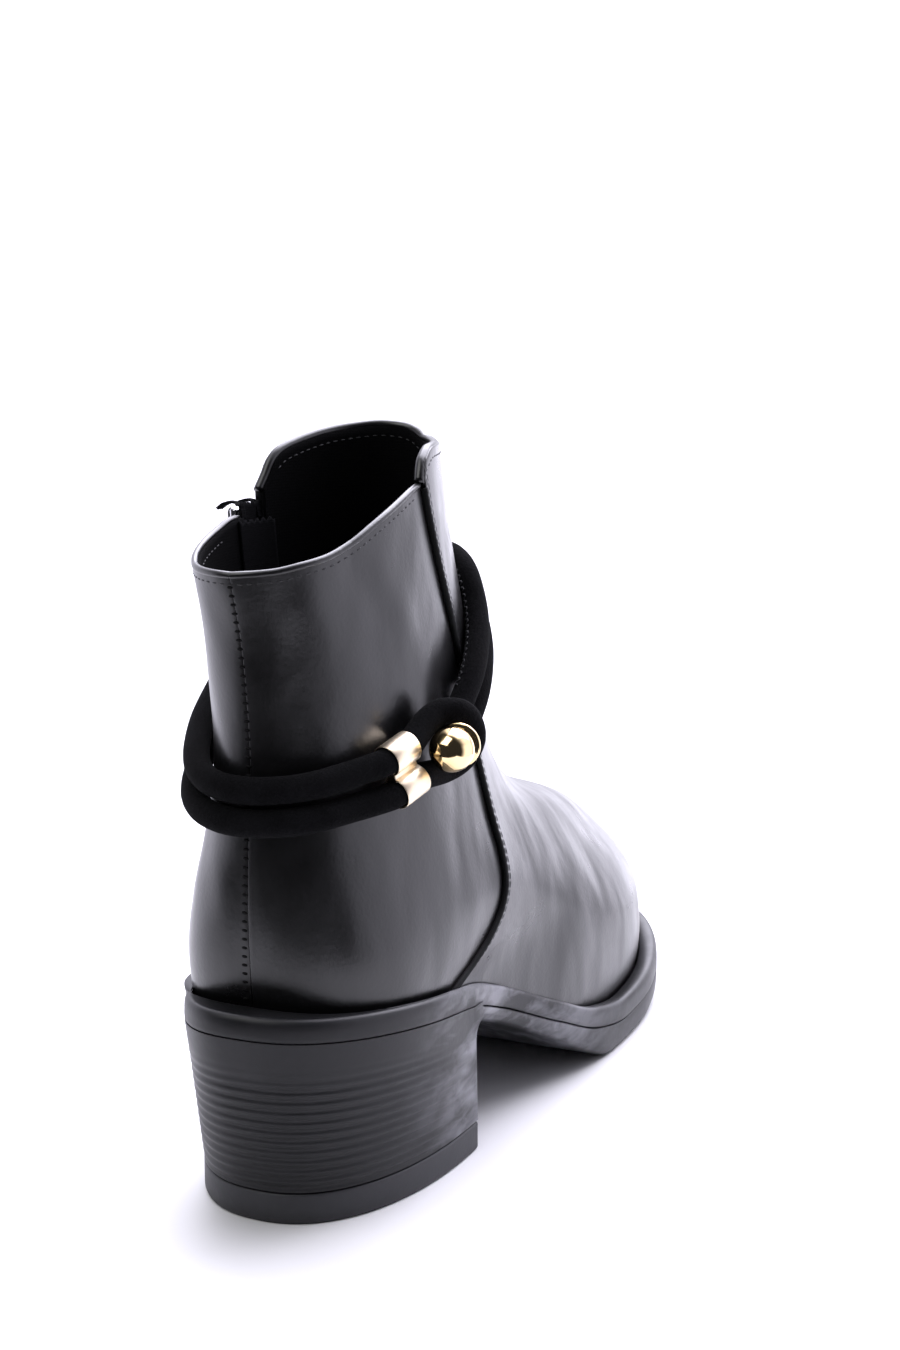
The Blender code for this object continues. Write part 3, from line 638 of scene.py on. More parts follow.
def as_object(name: str, bm: Mesh, material: bpy.types.Material) -> Piece:
    """Write a mesh as an object of one material.

    Args:
        name: the object's name.
        bm: the mesh, which is freed.
        material: its material.

    Returns:
        The object.
    """
    mesh = bpy.data.meshes.new(name)
    bm.to_mesh(mesh)
    bm.free()
    mesh.materials.append(material)
    return placed(name, mesh)


def add_piece(name: str, bm: Mesh, finish: "Finish", body: Body = Body.BOOT,
              replaces: Sequence[str] = ()) -> Piece:
    """Write a finished mesh as a piece of the boot.

    Args:
        name: the piece's name.
        bm: its mesh, which is freed.
        finish: its surface.
        body: the body it rides on.
        replaces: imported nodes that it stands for.

    Returns:
        The piece's object.
    """
    piece = as_object(name, bm, finish.material())
    piece.data.shade_smooth()
    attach(piece, body.value)
    if replaces:
        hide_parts(*replaces)
    LOG.info("%s: %d faces", name, len(piece.data.polygons))
    return piece


def bevelled(piece: Piece, width: float, segments: int, angle: float) -> None:
    """Round a piece's edges with a live bevel.

    Args:
        piece: the piece.
        width: width of the bevel in millimetres.
        segments: steps across an edge.
        angle: edges sharper than this are rounded, in degrees.
    """
    mod = piece.modifiers.new("rounded_edges", "BEVEL")
    mod.width = width * MM
    mod.segments = segments
    mod.limit_method = "ANGLE"
    mod.angle_limit = math.radians(angle)
    mod.use_clamp_overlap = True


# Finishes
class Wiring:
    """Adds and joins nodes in one node tree."""

    def __init__(self, tree: bpy.types.NodeTree) -> None:
        """Keep the tree."""
        self.tree = tree

    def feed(self, node: bpy.types.Node, inputs: dict) -> None:
        """Set inputs of a node.

        Args:
            node: the node.
            inputs: values or sockets by input name or number.
        """
        for key, value in inputs.items():
            if isinstance(value, Socket):
                self.tree.links.new(value, node.inputs[key])
            else:
                node.inputs[key].default_value = value

    def add(self, kind: str, inputs: dict, **settings: object) -> bpy.types.Node:
        """Add one node.

        Args:
            kind: the node's type without its prefix.
            inputs: values or sockets by input name or number.
            settings: attributes of the node.

        Returns:
            The node.
        """
        node = self.tree.nodes.new("ShaderNode" + kind)
        for key, value in settings.items():
            setattr(node, key, value)
        self.feed(node, inputs)
        return node

    def math(self, operation: str, first: object, *more: object) -> Socket:
        """Values joined one after another by one operation."""
        for value in more:
            first = self.add("Math", {0: first, 1: value}, operation=operation).outputs[0]
        return first

    def spread(self, value: Socket, band: Band, to: Band = (0.0, 1.0), kind: str = "LINEAR") -> Socket:
        """A band of a value moved to another range and held beyond it.

        Args:
            value: the value.
            band: where the band starts and ends.
            to: what it becomes there.
            kind: how it runs between.

        Returns:
            The moved value.
        """
        keys = {"Value": value, "From Min": band[0], "From Max": band[1], "To Min": to[0], "To Max": to[1]}
        return self.add("MapRange", keys, interpolation_type=kind).outputs["Result"]

    def ramp(self, value: Socket, band: Band, to: Band = (0.0, 1.0)) -> Socket:
        """A band of a value moved smoothly to another range and held beyond it."""
        return self.spread(value, band, to, "SMOOTHSTEP")

    def mix(self, factor: Socket, a: object, b: object) -> Socket:
        """One value where the factor is 0 and another where it is 1."""
        return self.add("Mix", {"Factor": factor, "A": a, "B": b}).outputs[0]

    def noise(self, vector: Socket, scale: object, detail: float, **more: float) -> Socket:
        """Value of a noise texture."""
        return self.add("TexNoise", {"Vector": vector, "Scale": scale, "Detail": detail, **more}).outputs[0]

    def turned(self, vector: Socket, scale: Triple, degrees: float = 0.0) -> Socket:
        """A place stretched along its axes and turned round the y axis."""
        keys = {"Vector": vector, "Rotation": (0.0, math.radians(degrees), 0.0), "Scale": scale}
        return self.add("Mapping", keys).outputs["Vector"]

    def group(self, fill: Fill, vector: Socket, scale: float) -> bpy.types.Node:
        """A shared group, placed with its own scale."""
        return self.add("Group", {"Vector": vector, "Scale": scale}, node_tree=shared_group(fill))


def shared_group(fill: Fill) -> bpy.types.NodeTree:
    """Shader group with a Vector and a Scale that is built once and used by several finishes.

    Args:
        fill: adds the nodes and gives the socket for each output; the group has its name.

    Returns:
        The group.
    """
    found = bpy.data.node_groups.get(fill.__name__)
    if found:
        return found
    tree = bpy.data.node_groups.new(fill.__name__, "ShaderNodeTree")
    for key, kind in (("Vector", "NodeSocketVector"), ("Scale", "NodeSocketFloat")):
        tree.interface.new_socket(key, in_out="INPUT", socket_type=kind)
    start = tree.nodes.new("NodeGroupInput").outputs
    wires = Wiring(tree)
    made = fill(wires, start["Vector"], start["Scale"])
    for key in made:
        tree.interface.new_socket(key, in_out="OUTPUT", socket_type="NodeSocketFloat")
    wires.feed(tree.nodes.new("NodeGroupOutput"), made)
    return tree


def patina(wires: Wiring, vector: Socket, scale: Socket) -> dict[str, Socket]:
    """Cloudy value from 0 to 1 that handling and polish leave: two sizes of noise.

    Args:
        wires: the group's wiring.
        vector: its Vector input.
        scale: its Scale input.

    Returns:
        The socket for each output.
    """
    big = wires.noise(vector, scale, 3.0)
    small = wires.noise(vector, wires.math("MULTIPLY", scale, 4.3), 5.0, Distortion=0.6)
    both = wires.math("ADD", wires.math("MULTIPLY", big, 0.7), wires.math("MULTIPLY", small, 0.3))
    return {"Value": wires.spread(both, (0.32, 0.68))}


def grain(wires: Wiring, vector: Socket, scale: Socket) -> dict[str, Socket]:
    """Fine pebble of hide or moulded rubber as a height: cells, and noise for the pores.

    Args:
        wires: the group's wiring.
        vector: its Vector input.
        scale: its Scale input.

    Returns:
        The socket for each output.
    """
    cells = wires.add("TexVoronoi", {"Vector": vector, "Scale": scale}, feature="SMOOTH_F1")
    pores = wires.noise(vector, wires.math("MULTIPLY", scale, 0.6), 3.0)
    return {"Height": wires.math("ADD", wires.math("MULTIPLY", cells.outputs["Distance"], 0.6), pores)}


def nap(wires: Wiring, vector: Socket, scale: Socket) -> dict[str, Socket]:
    """Short brushed fibres as a height, and a mask of lighter tips by the way they lie.

    Args:
        wires: the group's wiring.
        vector: its Vector input.
        scale: its Scale input.

    Returns:
        The socket for each output.
    """
    fibre = wires.noise(vector, scale, 4.0, Roughness=0.7)
    lie = wires.noise(vector, wires.math("MULTIPLY", scale, 0.12), 2.0)
    lying = wires.spread(lie, (0.4, 0.65), (0.2, 1.0))
    tips = wires.math("MULTIPLY", wires.spread(fibre, (0.5, 0.75)), lying)
    return {"Height": fibre, "Tips": tips}


def weave(wires: Wiring, vector: Socket, scale: Socket) -> dict[str, Socket]:
    """Plain cloth weave as a height, from two crossed waves.

    Args:
        wires: the group's wiring.
        vector: its Vector input.
        scale: its Scale input.

    Returns:
        The socket for each output.
    """
    keys = {"Vector": vector, "Scale": scale, "Distortion": 0.4}
    waves = [wires.add("TexWave", keys, bands_direction=way).outputs["Fac"] for way in ("X", "Z")]
    return {"Height": wires.math("MAXIMUM", *waves)}


GROUPS = {Relief.HIDE: grain, Relief.RUBBER: grain, Relief.NAP: nap, Relief.WEAVE: weave,
          Relief.BRUSHED: patina}


@dataclass(frozen=True)
class Finish:
    """One surface: colours, gloss and fine relief, with sizes in millimetres and places in metres."""

    name: str
    colour: Triple
    worn: Triple
    rough: Band
    relief: Relief
    relief_size: float
    relief_depth: float
    cloud_size: float = 30.0
    stretch: Triple = (1.0, 1.0, 1.0)
    metallic: float = 0.0
    specular: float = 0.5
    coat: float = 0.0
    coat_rough: float = 0.2
    sheen: float = 0.0
    sheen_rough: float = 0.5
    cloud: float = 0.6
    tips: float = 0.5
    ripple: float = 0.0
    ripple_size: float = 24.0
    ripple_stretch: Triple = (1.0, 1.0, 0.45)
    ripple_turn: float = 35.0
    smear: float = 0.0
    smear_size: float = 1000.0 / 75.0
    smear_stretch: Triple = (0.35, 1.0, 1.0)
    smear_turn: float = -50.0
    smear_band: Band = (0.3, 0.75)
    smear_from: Band = (-0.012, 0.03)
    smear_until: Band = (0.07, 0.12)
    smear_left: float = 0.12
    smear_gloss: float = 0.1

    def material(self) -> bpy.types.Material:
        """The finish's material, built at first use."""
        return bpy.data.materials.get(self.name) or self.build()

    def build(self) -> bpy.types.Material:
        """Build the material from its node groups.

        Returns:
            The material.
        """
        made = bpy.data.materials.new(self.name)
        made.use_nodes = True
        wires = Wiring(made.node_tree)
        place = wires.add("TexCoord", {}).outputs["Object"]
        pulled = wires.turned(place, self.stretch)
        cloud = wires.group(patina, pulled, 1000.0 / self.cloud_size).outputs["Value"]
        rough = wires.spread(cloud, (0.0, 1.0), self.rough)
        tone = wires.math("MULTIPLY", cloud, self.cloud)
        relief = wires.group(GROUPS[self.relief], place, 1000.0 / self.relief_size).outputs
        if self.relief is Relief.NAP:
            tone = wires.math("ADD", tone, wires.math("MULTIPLY", relief["Tips"], self.tips))
        if self.smear:
            marks = self.marks(wires, place)
            tone = wires.math("ADD", tone, marks)
            rough = wires.math("SUBTRACT", rough, wires.math("MULTIPLY", marks, self.smear_gloss))
        colours = {"Factor": tone, 6: self.colour + (1.0,), 7: self.worn + (1.0,)}
        colour = wires.add("Mix", colours, data_type="RGBA").outputs[2]
        bump = {"Height": relief[0], "Strength": 1.0, "Distance": self.relief_depth * MM}
        if self.ripple:
            lie = wires.turned(place, self.ripple_stretch, self.ripple_turn)
            wave = wires.noise(lie, 1000.0 / self.ripple_size, 1.5)
            soft = wires.add("Bump", {"Height": wave, "Strength": 1.0, "Distance": self.ripple * MM})
            bump["Normal"] = soft.outputs["Normal"]
        wires.feed(made.node_tree.nodes["Principled BSDF"], {
            "Base Color": colour, "Roughness": rough, "Normal": wires.add("Bump", bump).outputs["Normal"],
            "Metallic": self.metallic, "Specular IOR Level": self.specular, "Coat Weight": self.coat,
            "Coat Roughness": self.coat_rough, "Sheen Weight": self.sheen,
            "Sheen Roughness": self.sheen_rough})
        return made

    def marks(self, wires: Wiring, place: Socket) -> Socket:
        """Mask of the paler marks of hand finishing, on the front half of the heel and the shank.

        Args:
            wires: the material's wiring.
            place: where on the piece.

        Returns:
            The mask.
        """
        lie = wires.turned(place, self.smear_stretch, self.smear_turn)
        marks = wires.group(patina, lie, 1000.0 / self.smear_size).outputs["Value"]
        x = wires.add("SeparateXYZ", {"Vector": place}).outputs["X"]
        return wires.math("MULTIPLY", wires.ramp(x, self.smear_from),
                          wires.ramp(x, self.smear_until, (1.0, self.smear_left)),
                          wires.spread(marks, self.smear_band, (0.0, self.smear)))


LEATHER = Finish("smooth_black_leather", (0.0018, 0.0017, 0.002), (0.004, 0.0039, 0.0045), (0.26, 0.36),
                 Relief.HIDE, 0.9, 0.035, cloud_size=26.0, stretch=(0.9, 0.9, 1.2), coat=0.15,
                 coat_rough=0.28, ripple=2.8)
# Dark matt finish: partly the leather's own dark cut edge and black thread, partly painted shade, darkened
# further for the shadow beside the vamp's edge and the stitch holes of the back seam.
DARK_MATT_AND_PAINTED_SHADE = Finish("dark_matt_and_painted_shade", (0.0012, 0.0012, 0.0014), (0.003, 0.003, 0.0033), (0.6, 0.8),
                      Relief.HIDE, 0.5, 0.03, specular=0.12)
RUBBER = Finish("moulded_sole_rubber", (0.0045, 0.0045, 0.0055), (0.15, 0.15, 0.165), (0.36, 0.48),
                Relief.RUBBER, 1.2, 0.02, cloud_size=18.0, smear=1.0, cloud=0.03, specular=0.3)
LIFT_RUBBER = Finish("heel_lift_rubber", (0.018, 0.018, 0.021), (0.036, 0.036, 0.04), (0.45, 0.6),
                     Relief.RUBBER, 0.8, 0.03, cloud_size=12.0, specular=0.35)
LINING = Finish("lining_cloth", (0.0016, 0.0016, 0.0018), (0.004, 0.004, 0.0045), (0.9, 1.0), Relief.WEAVE,
                2.4, 0.05, specular=0.04)
SUEDE = Finish("napped_cord", (0.0007, 0.0007, 0.0008), (0.007, 0.007, 0.008), (0.9, 1.0), Relief.NAP,
               0.7, 0.35, specular=0.03, sheen=0.015)
GOLD = Finish("pale_gold_metal", (0.97, 0.76, 0.42), (0.93, 0.68, 0.36), (0.06, 0.12), Relief.BRUSHED,
              3.0, 0.002, metallic=1.0)
SATIN_GOLD = Finish("satin_gold_metal", (1.0, 0.87, 0.66), (0.97, 0.80, 0.58), (0.28, 0.4), Relief.BRUSHED,
                    1.5, 0.004, metallic=1.0)
STEEL = Finish("bright_zip_metal", (0.75, 0.75, 0.77), (0.6, 0.6, 0.62), (0.12, 0.25), Relief.BRUSHED,
               2.0, 0.003, metallic=1.0)
DARK_METAL = Finish("dark_pull_metal", (0.02, 0.02, 0.022), (0.05, 0.05, 0.052), (0.3, 0.4), Relief.BRUSHED,
                    2.0, 0.003, metallic=0.6, coat=0.3)
THREAD = Finish("black_thread", (0.006, 0.006, 0.007), (0.02, 0.02, 0.022), (0.5, 0.65), Relief.NAP,
                0.2, 0.02)
ZIP_CLOTH = Finish("zip_tape_cloth", (0.002, 0.002, 0.0025), (0.005, 0.005, 0.006), (0.85, 0.95),
                   Relief.WEAVE, 1.8, 0.05, specular=0.06)


# Upper
@dataclass
class Panel:
    """One leather panel on the last, from one edge to another and from the sole to the collar."""

    last: Last
    first: Turn
    final: Turn
    rim: tuple[Rim, ...]
    columns: int
    rows: int
    low_rise: float = 0.45
    lap_gap: float = 0.08
    level_step: float = 2.0

    def places(self, drop: float) -> tuple[Array, Array]:
        """Turns and heights of a grid that is even across and along the panel.

        Args:
            drop: how far the top stays below the collar.

        Returns:
            Two arrays of columns and rows.
        """
        levels = np.arange(0.0, 202.0, self.level_step)
        table = np.empty((len(levels), self.columns))
        for k, ends in enumerate(zip(self.first(levels), self.final(levels))):
            turns = np.linspace(*ends, 260)
            table[k] = even(np.column_stack([self.last.point(turns, levels[k]), turns]), self.columns)[:, 3]
        column = np.arange(self.columns)

        def turn_of(z: Array) -> Array:
            """Turn of each column at its own height."""
            at = np.clip(z / self.level_step, 0, len(levels) - 1.001)
            k = at.astype(int)
            return table[k, column] + (at - k) * (table[k + 1, column] - table[k, column])

        low = self.last.foot(turn_of, self.low_rise, self.columns)
        high = np.full(self.columns, 175.0)
        for _ in range(40):
            high = high + 0.6 * (blend(self.rim, "turn", "height", turn_of(high)) - drop - high)
        fine = np.linspace(low, high, 120, axis=1)
        lines = self.last.point(np.stack([turn_of(row) for row in fine.T], 1), fine)
        heights = np.array([even(line, self.rows)[:, 2] for line in lines])
        return np.stack([turn_of(row) for row in heights.T], 1), heights

    def wall(self, bm: Mesh, outer: float, inner: float, drop: float = 0.0, lap: int = 0) -> None:
        """Add the panel as a closed wall between two lifts off the last.

        Args:
            bm: mesh that takes it.
            outer: lift of the outer face.
            inner: lift of the inner face.
            drop: how far the top stays below the collar.
            lap: columns at the first edge whose inner face stays just off the last, over a neighbour.
        """
        points, normals = self.last.skin(*self.places(drop))
        under = np.full(self.columns, inner)
        if lap:
            under = self.lap_gap + (inner - self.lap_gap) * fade(np.arange(self.columns), lap, lap + 2)
        closed(bm, (points + normals * outer, points + normals * under[:, None, None]))


@dataclass
class Upper:
    """Two quarters and the vamp in leather, their lining, rolled collar and stitches."""

    last: Last
    overlay: float = 1.2
    leather: float = 1.0
    wall: float = 2.0
    lining_gap: float = 0.05
    lining_drop: float = 0.7
    zip_width: float = 11.0
    underlap: float = 4.0
    lap_columns: int = 8
    stitch_inset: float = 1.8
    collar_drop: float = 2.6
    inside_drop: float = 3.4
    roll_drop: float = 0.55
    back_turn: float = 0.9984
    collar_thread: Thread = Thread(2.3, 1.5, 0.45, 0.35)
    inside_thread: Thread = Thread(2.3, 1.5, 0.4, 0.3)
    lap_thread: Thread = Thread(2.3, 2.0, 0.3, 0.18)
    back_thread_and_hole_shade: Thread = Thread(2.2, 1.6, 0.8, 0.4)

    def panels(self) -> dict[str, Panel]:
        """Lay out the three panels.

        Returns:
            The panels by the names of their pieces.
        """
        seam = self.last.seam
        under, over = seam(Side.LATERAL, self.underlap), seam(Side.LATERAL, 0.7)
        slot_front, slot_back = seam(Side.MEDIAL), seam(Side.MEDIAL, -self.zip_width)
        return {
            "quarter_outer": Panel(self.last, lambda z: 0.0 * z, under, LATERAL_RIM, 90, 90),
            "vamp_panel": Panel(self.last, over, slot_front, VAMP_RIM, 190, 110),
            "quarter_inner": Panel(self.last, slot_back, lambda z: 0.0 * z + 1.0, MEDIAL_RIM, 80, 90),
        }

    def build(self) -> None:
        """Make the panels, the lining, the stitches and the edges."""
        lining = bmesh.new()
        for name, panel in self.panels().items():
            bm = bmesh.new()
            vamp = name == "vamp_panel"
            panel.wall(bm, self.overlay if vamp else 0.0, -self.leather, lap=self.lap_columns if vamp else 0)
            weld(bm)
            bevelled(add_piece(name, bm, LEATHER, replaces=["upper"]), 0.45, 3, 50.0)
            panel.wall(lining, -self.leather - self.lining_gap, -self.wall, drop=self.lining_drop)
        weld(lining)
        add_piece("lining", lining, LINING, replaces=["upper"])
        self.stitches()
        self.back_seam()
        self.lap_edge()
        self.binding()

    def row(self, turns: Array, heights: Array, lift: float) -> tuple[Array, Array]:
        """Points and normals of a line on the creased upper."""
        points, normals = self.last.skin(turns, heights)
        return points + normals * lift, normals

    def stitches(self) -> None:
        """Rows along the collar on both faces, beside the vamp's edge and beside the zip."""
        bm = bmesh.new()
        for hem in (Hem(LATERAL_RIM, 0.0, 0.262, 0.0), Hem(MEDIAL_RIM, 0.795, 1.0, 0.0),
                    Hem(VAMP_RIM, 0.30, 0.69, self.overlay)):
            turns = np.linspace(hem.first, hem.final, 160)
            heights = blend(hem.rim, "turn", "height", turns)
            sew(bm, *self.row(turns, heights - self.collar_drop, hem.lift), self.collar_thread)
            path, normals = self.row(turns, heights - self.inside_drop, -self.wall)
            sew(bm, path, -normals, self.inside_thread)
        for line in (SeamLine(Side.LATERAL, self.stitch_inset, 52.0, 186.0, self.overlay),
                     SeamLine(Side.LATERAL, self.stitch_inset + 1.1, 52.0, 187.0, self.overlay),
                     SeamLine(Side.MEDIAL, -self.stitch_inset, 66.0, 174.0, self.overlay),
                     SeamLine(Side.MEDIAL, -self.zip_width - self.stitch_inset, 66.0, 167.0, 0.0)):
            heights = np.linspace(line.low, line.top, 200)
            turns = self.last.seam(line.side, line.move)(heights)
            sew(bm, *self.row(turns, heights, line.lift), self.lap_thread)
        add_piece("panel_stitches", bm, THREAD)

    def back_seam(self) -> None:
        """Row of short stitches across the back seam, dark matt: partly the thread and partly painted shade
        of the stitch holes.
        """
        bm = bmesh.new()
        heights = np.linspace(55.0, 160.0, 160)
        # The stitch pillows are made large and dark to paint the shade of the stitch holes along with the
        # thread.
        sew(bm, *self.row(np.full(160, self.back_turn), heights, 0.05), self.back_thread_and_hole_shade, across=True)
        add_piece("back_seam_stitches_and_painted_hole_shade", bm, DARK_MATT_AND_PAINTED_SHADE)

    def lap_edge(self) -> None:
        """Dark turned edge of the vamp where it laps over the outer quarter: a dark matt tube wider than the
        leather, partly the edge itself and partly painted shadow beside it.
        """
        heights = np.linspace(47.0, 180.0, 260)
        path, normals = self.row(self.last.seam(Side.LATERAL, 0.5)(heights), heights, 0.45)
        bm = bmesh.new()
        # The tube's width and dark matt finish paint the shadow under the vamp's edge as well as the edge.
        tube(bm, path, 1.05, 10, normals[0])
        add_piece("vamp_edge_and_painted_shadow", bm, DARK_MATT_AND_PAINTED_SHADE)

    def binding(self) -> None:
        """Rolled leather along the collar, thicker on the front panel."""
        bm = bmesh.new()
        for hem in (Hem(LATERAL_RIM, 0.0, 0.287, -0.75, 0.95), Hem(VAMP_RIM, 0.282, 0.716, -0.3, 1.35),
                    Hem(MEDIAL_RIM, 0.757, 1.0, -0.75, 0.95)):
            turns = np.linspace(hem.first, hem.final, 240)
            heights = blend(hem.rim, "turn", "height", turns) - self.roll_drop
            path, normals = self.row(turns, heights, hem.lift)
            tube(bm, path, hem.radius, 12, normals[0])
        add_piece("collar_binding", bm, LEATHER)


# Zip
@dataclass
class Zip:
    """Tape, closed coil, slider and pull on the inner side."""

    last: Last
    width: float = 11.0
    top: float = 175.0
    slider_height: float = 169.5
    slider_size: Triple = (7.2, 9.0, 2.2)
    slider_lift: float = 2.4
    arch_wire: float = 0.7
    tooth_offset: float = 0.8
    tooth: Thread = Thread(1.5, 2.6, 1.0, 1.3)
    end_width: float = 2.2
    end_thick: float = 0.65
    pivot_up: float = 1.7
    pivot_out: float = 4.4
    pull_start: float = 3.2
    pull_length: float = 17.0
    pull_width: float = 5.4
    pull_thick: float = 1.0

    def build(self) -> None:
        """Make the tapes, the coil, the slider and the pull."""
        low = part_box("zip_tape")[0].z / MM + 0.5
        self.tape(low)
        self.tape_ends()
        self.teeth(low)
        self.slider()
        self.pull()

    def at(self, move: float, z: Array, lift: Union[float, Array]) -> Array:
        """Points off the inner side, at a distance along the boot from the vamp's edge."""
        return self.last.lifted(self.last.seam(Side.MEDIAL, move)(z), z, lift)

    def tape(self, low: float) -> None:
        """Woven tape with a ragged top in the slot, and the wider part of it that is sewn in behind.

        Args:
            low: height of the zip's lower end.
        """
        for name, reach, top, lifts in (("zip_woven_tape", -0.5, self.top, (-0.35, -0.95)),
                                        ("zip_sewn_in_tape", 3.5, self.top - 4.5, (-2.05, -2.5))):
            moves = np.linspace(-reach, self.width + reach, 21) - self.width
            tops = top + 0.5 * np.sin(9.0 * moves) + 0.35 * np.sin(23.0 * moves)
            heights = np.linspace(low, tops, 120, axis=1)
            bm = bmesh.new()
            closed(bm, [np.array([self.at(m, z, lift) for m, z in zip(moves, heights)]) for lift in lifts])
            add_piece(name, bm, ZIP_CLOTH, replaces=["zip_tape"])

    def tape_ends(self) -> None:
        """Two frayed tape ends that droop outward beside the slider."""
        curl = np.array([(-0.65, 171.5), (-0.4, 174.4), (0.8, 175.6), (2.6, 175.8), (4.6, 175.2),
                         (6.6, 173.8)])
        rows = np.arange(len(curl))
        bm = bmesh.new()
        for first in (0.4, self.width - 2.6):
            skins = []
            for shift in (0.0, -self.end_thick):
                columns = []
                for move in first + np.linspace(0.0, self.end_width, 9) - self.width:
                    frayed = 0.9 + 0.1 * math.sin(17.0 * move)
                    share = np.linspace(0, frayed * rows[-1], 28)
                    lift, z = (np.interp(share, rows, column) + shift for column in curl.T)
                    columns.append(self.at(move, z, lift))
                skins.append(np.array(columns))
            closed(bm, skins)
        add_piece("zip_tape_ends", bm, ZIP_CLOTH)

    def teeth(self, low: float) -> None:
        """Two rows of coil teeth that hold each other.

        Args:
            low: height of the zip's lower end.
        """
        bm = bmesh.new()
        heights = np.linspace(low + 1, self.top - 2.0, 240)
        for share, offset in ((0.0, self.tooth_offset), (0.5, -self.tooth_offset)):
            middle = self.last.seam(Side.MEDIAL, -0.5 * self.width + offset)(heights)
            path = self.last.lifted(middle, heights + share * self.tooth.pitch, 0.1)
            sew(bm, path, self.last.normal(middle, heights), self.tooth, across=True)
        add_piece("zip_coil", bm, THREAD)

    def frame(self) -> tuple[Array, Array, Array, Array]:
        """Where the slider sits.

        Returns:
            Its place with the ways across, up and out.
        """
        middle = self.last.seam(Side.MEDIAL, -0.5 * self.width)
        z = np.float64(self.slider_height)
        spot, out = self.last.point(middle(z), z), self.last.normal(middle(z), z)
        above = self.last.point(middle(z + 4), z + 4) - spot
        up = unit(above - out * above.dot(out))
        return spot, np.cross(up, out), up, out

    def slider(self) -> None:
        """Body with rounded edges, and the arch that holds the pull."""
        spot, side, up, out = self.frame()
        bm = bmesh.new()
        block(bm, as_matrix(spot + self.slider_lift * out, (side, up, out), self.slider_size), 0.7, 3)
        arch = ((-0.3, 3.2), (-0.3, 4.9), (0.0, 5.4), (0.6, 5.65), (2.8, 5.65), (3.4, 5.4), (3.7, 4.9),
                (3.7, 3.2))
        path = even(np.array([spot + u * up + o * out for u, o in arch]), 40)
        tube(bm, path, self.arch_wire, 12, side)
        add_piece("zip_slider_body", bm, STEEL, replaces=["zip_slider"])

    def pull(self) -> None:
        """Rounded tab that hangs from the arch by its eye."""
        spot, side, up, out = self.frame()
        pivot = spot + self.pivot_up * up + self.pivot_out * out
        half, wire = 0.5 * self.pull_width, 0.5 * self.pull_thick
        leg = half - wire
        eye = ((-leg, -3.6), (-leg, -0.9), (-half + 1.2, 0.0), (half - 1.2, 0.0), (leg, -0.9), (leg, -3.6))
        bm = bmesh.new()
        tube(bm, even(np.array([pivot + a * side + b * up for a, b in eye]), 40), wire, 10, out)
        down = np.linspace(self.pull_start, self.pull_length, 60)
        end = np.sqrt(np.clip(1 - fade(down, self.pull_length - 3.0, self.pull_length) ** 2, 0.02, 1))
        wide = half * end * (0.8 + 0.2 * fade(down, self.pull_start, 5.0))
        skins = []
        for lift in (wire, -wire):
            columns = []
            for share in np.linspace(-1, 1, 15):
                dish = 1 - 0.3 * fade(-abs(share), -0.8, -0.5)
                start = pivot + lift * dish * out
                columns.append([start + share * w * side - d * up for d, w in zip(down, wide)])
            skins.append(np.array(columns))
        closed(bm, skins)
        add_piece("zip_pull_tab", bm, DARK_METAL, Body.PULL, ["zip_pull"])


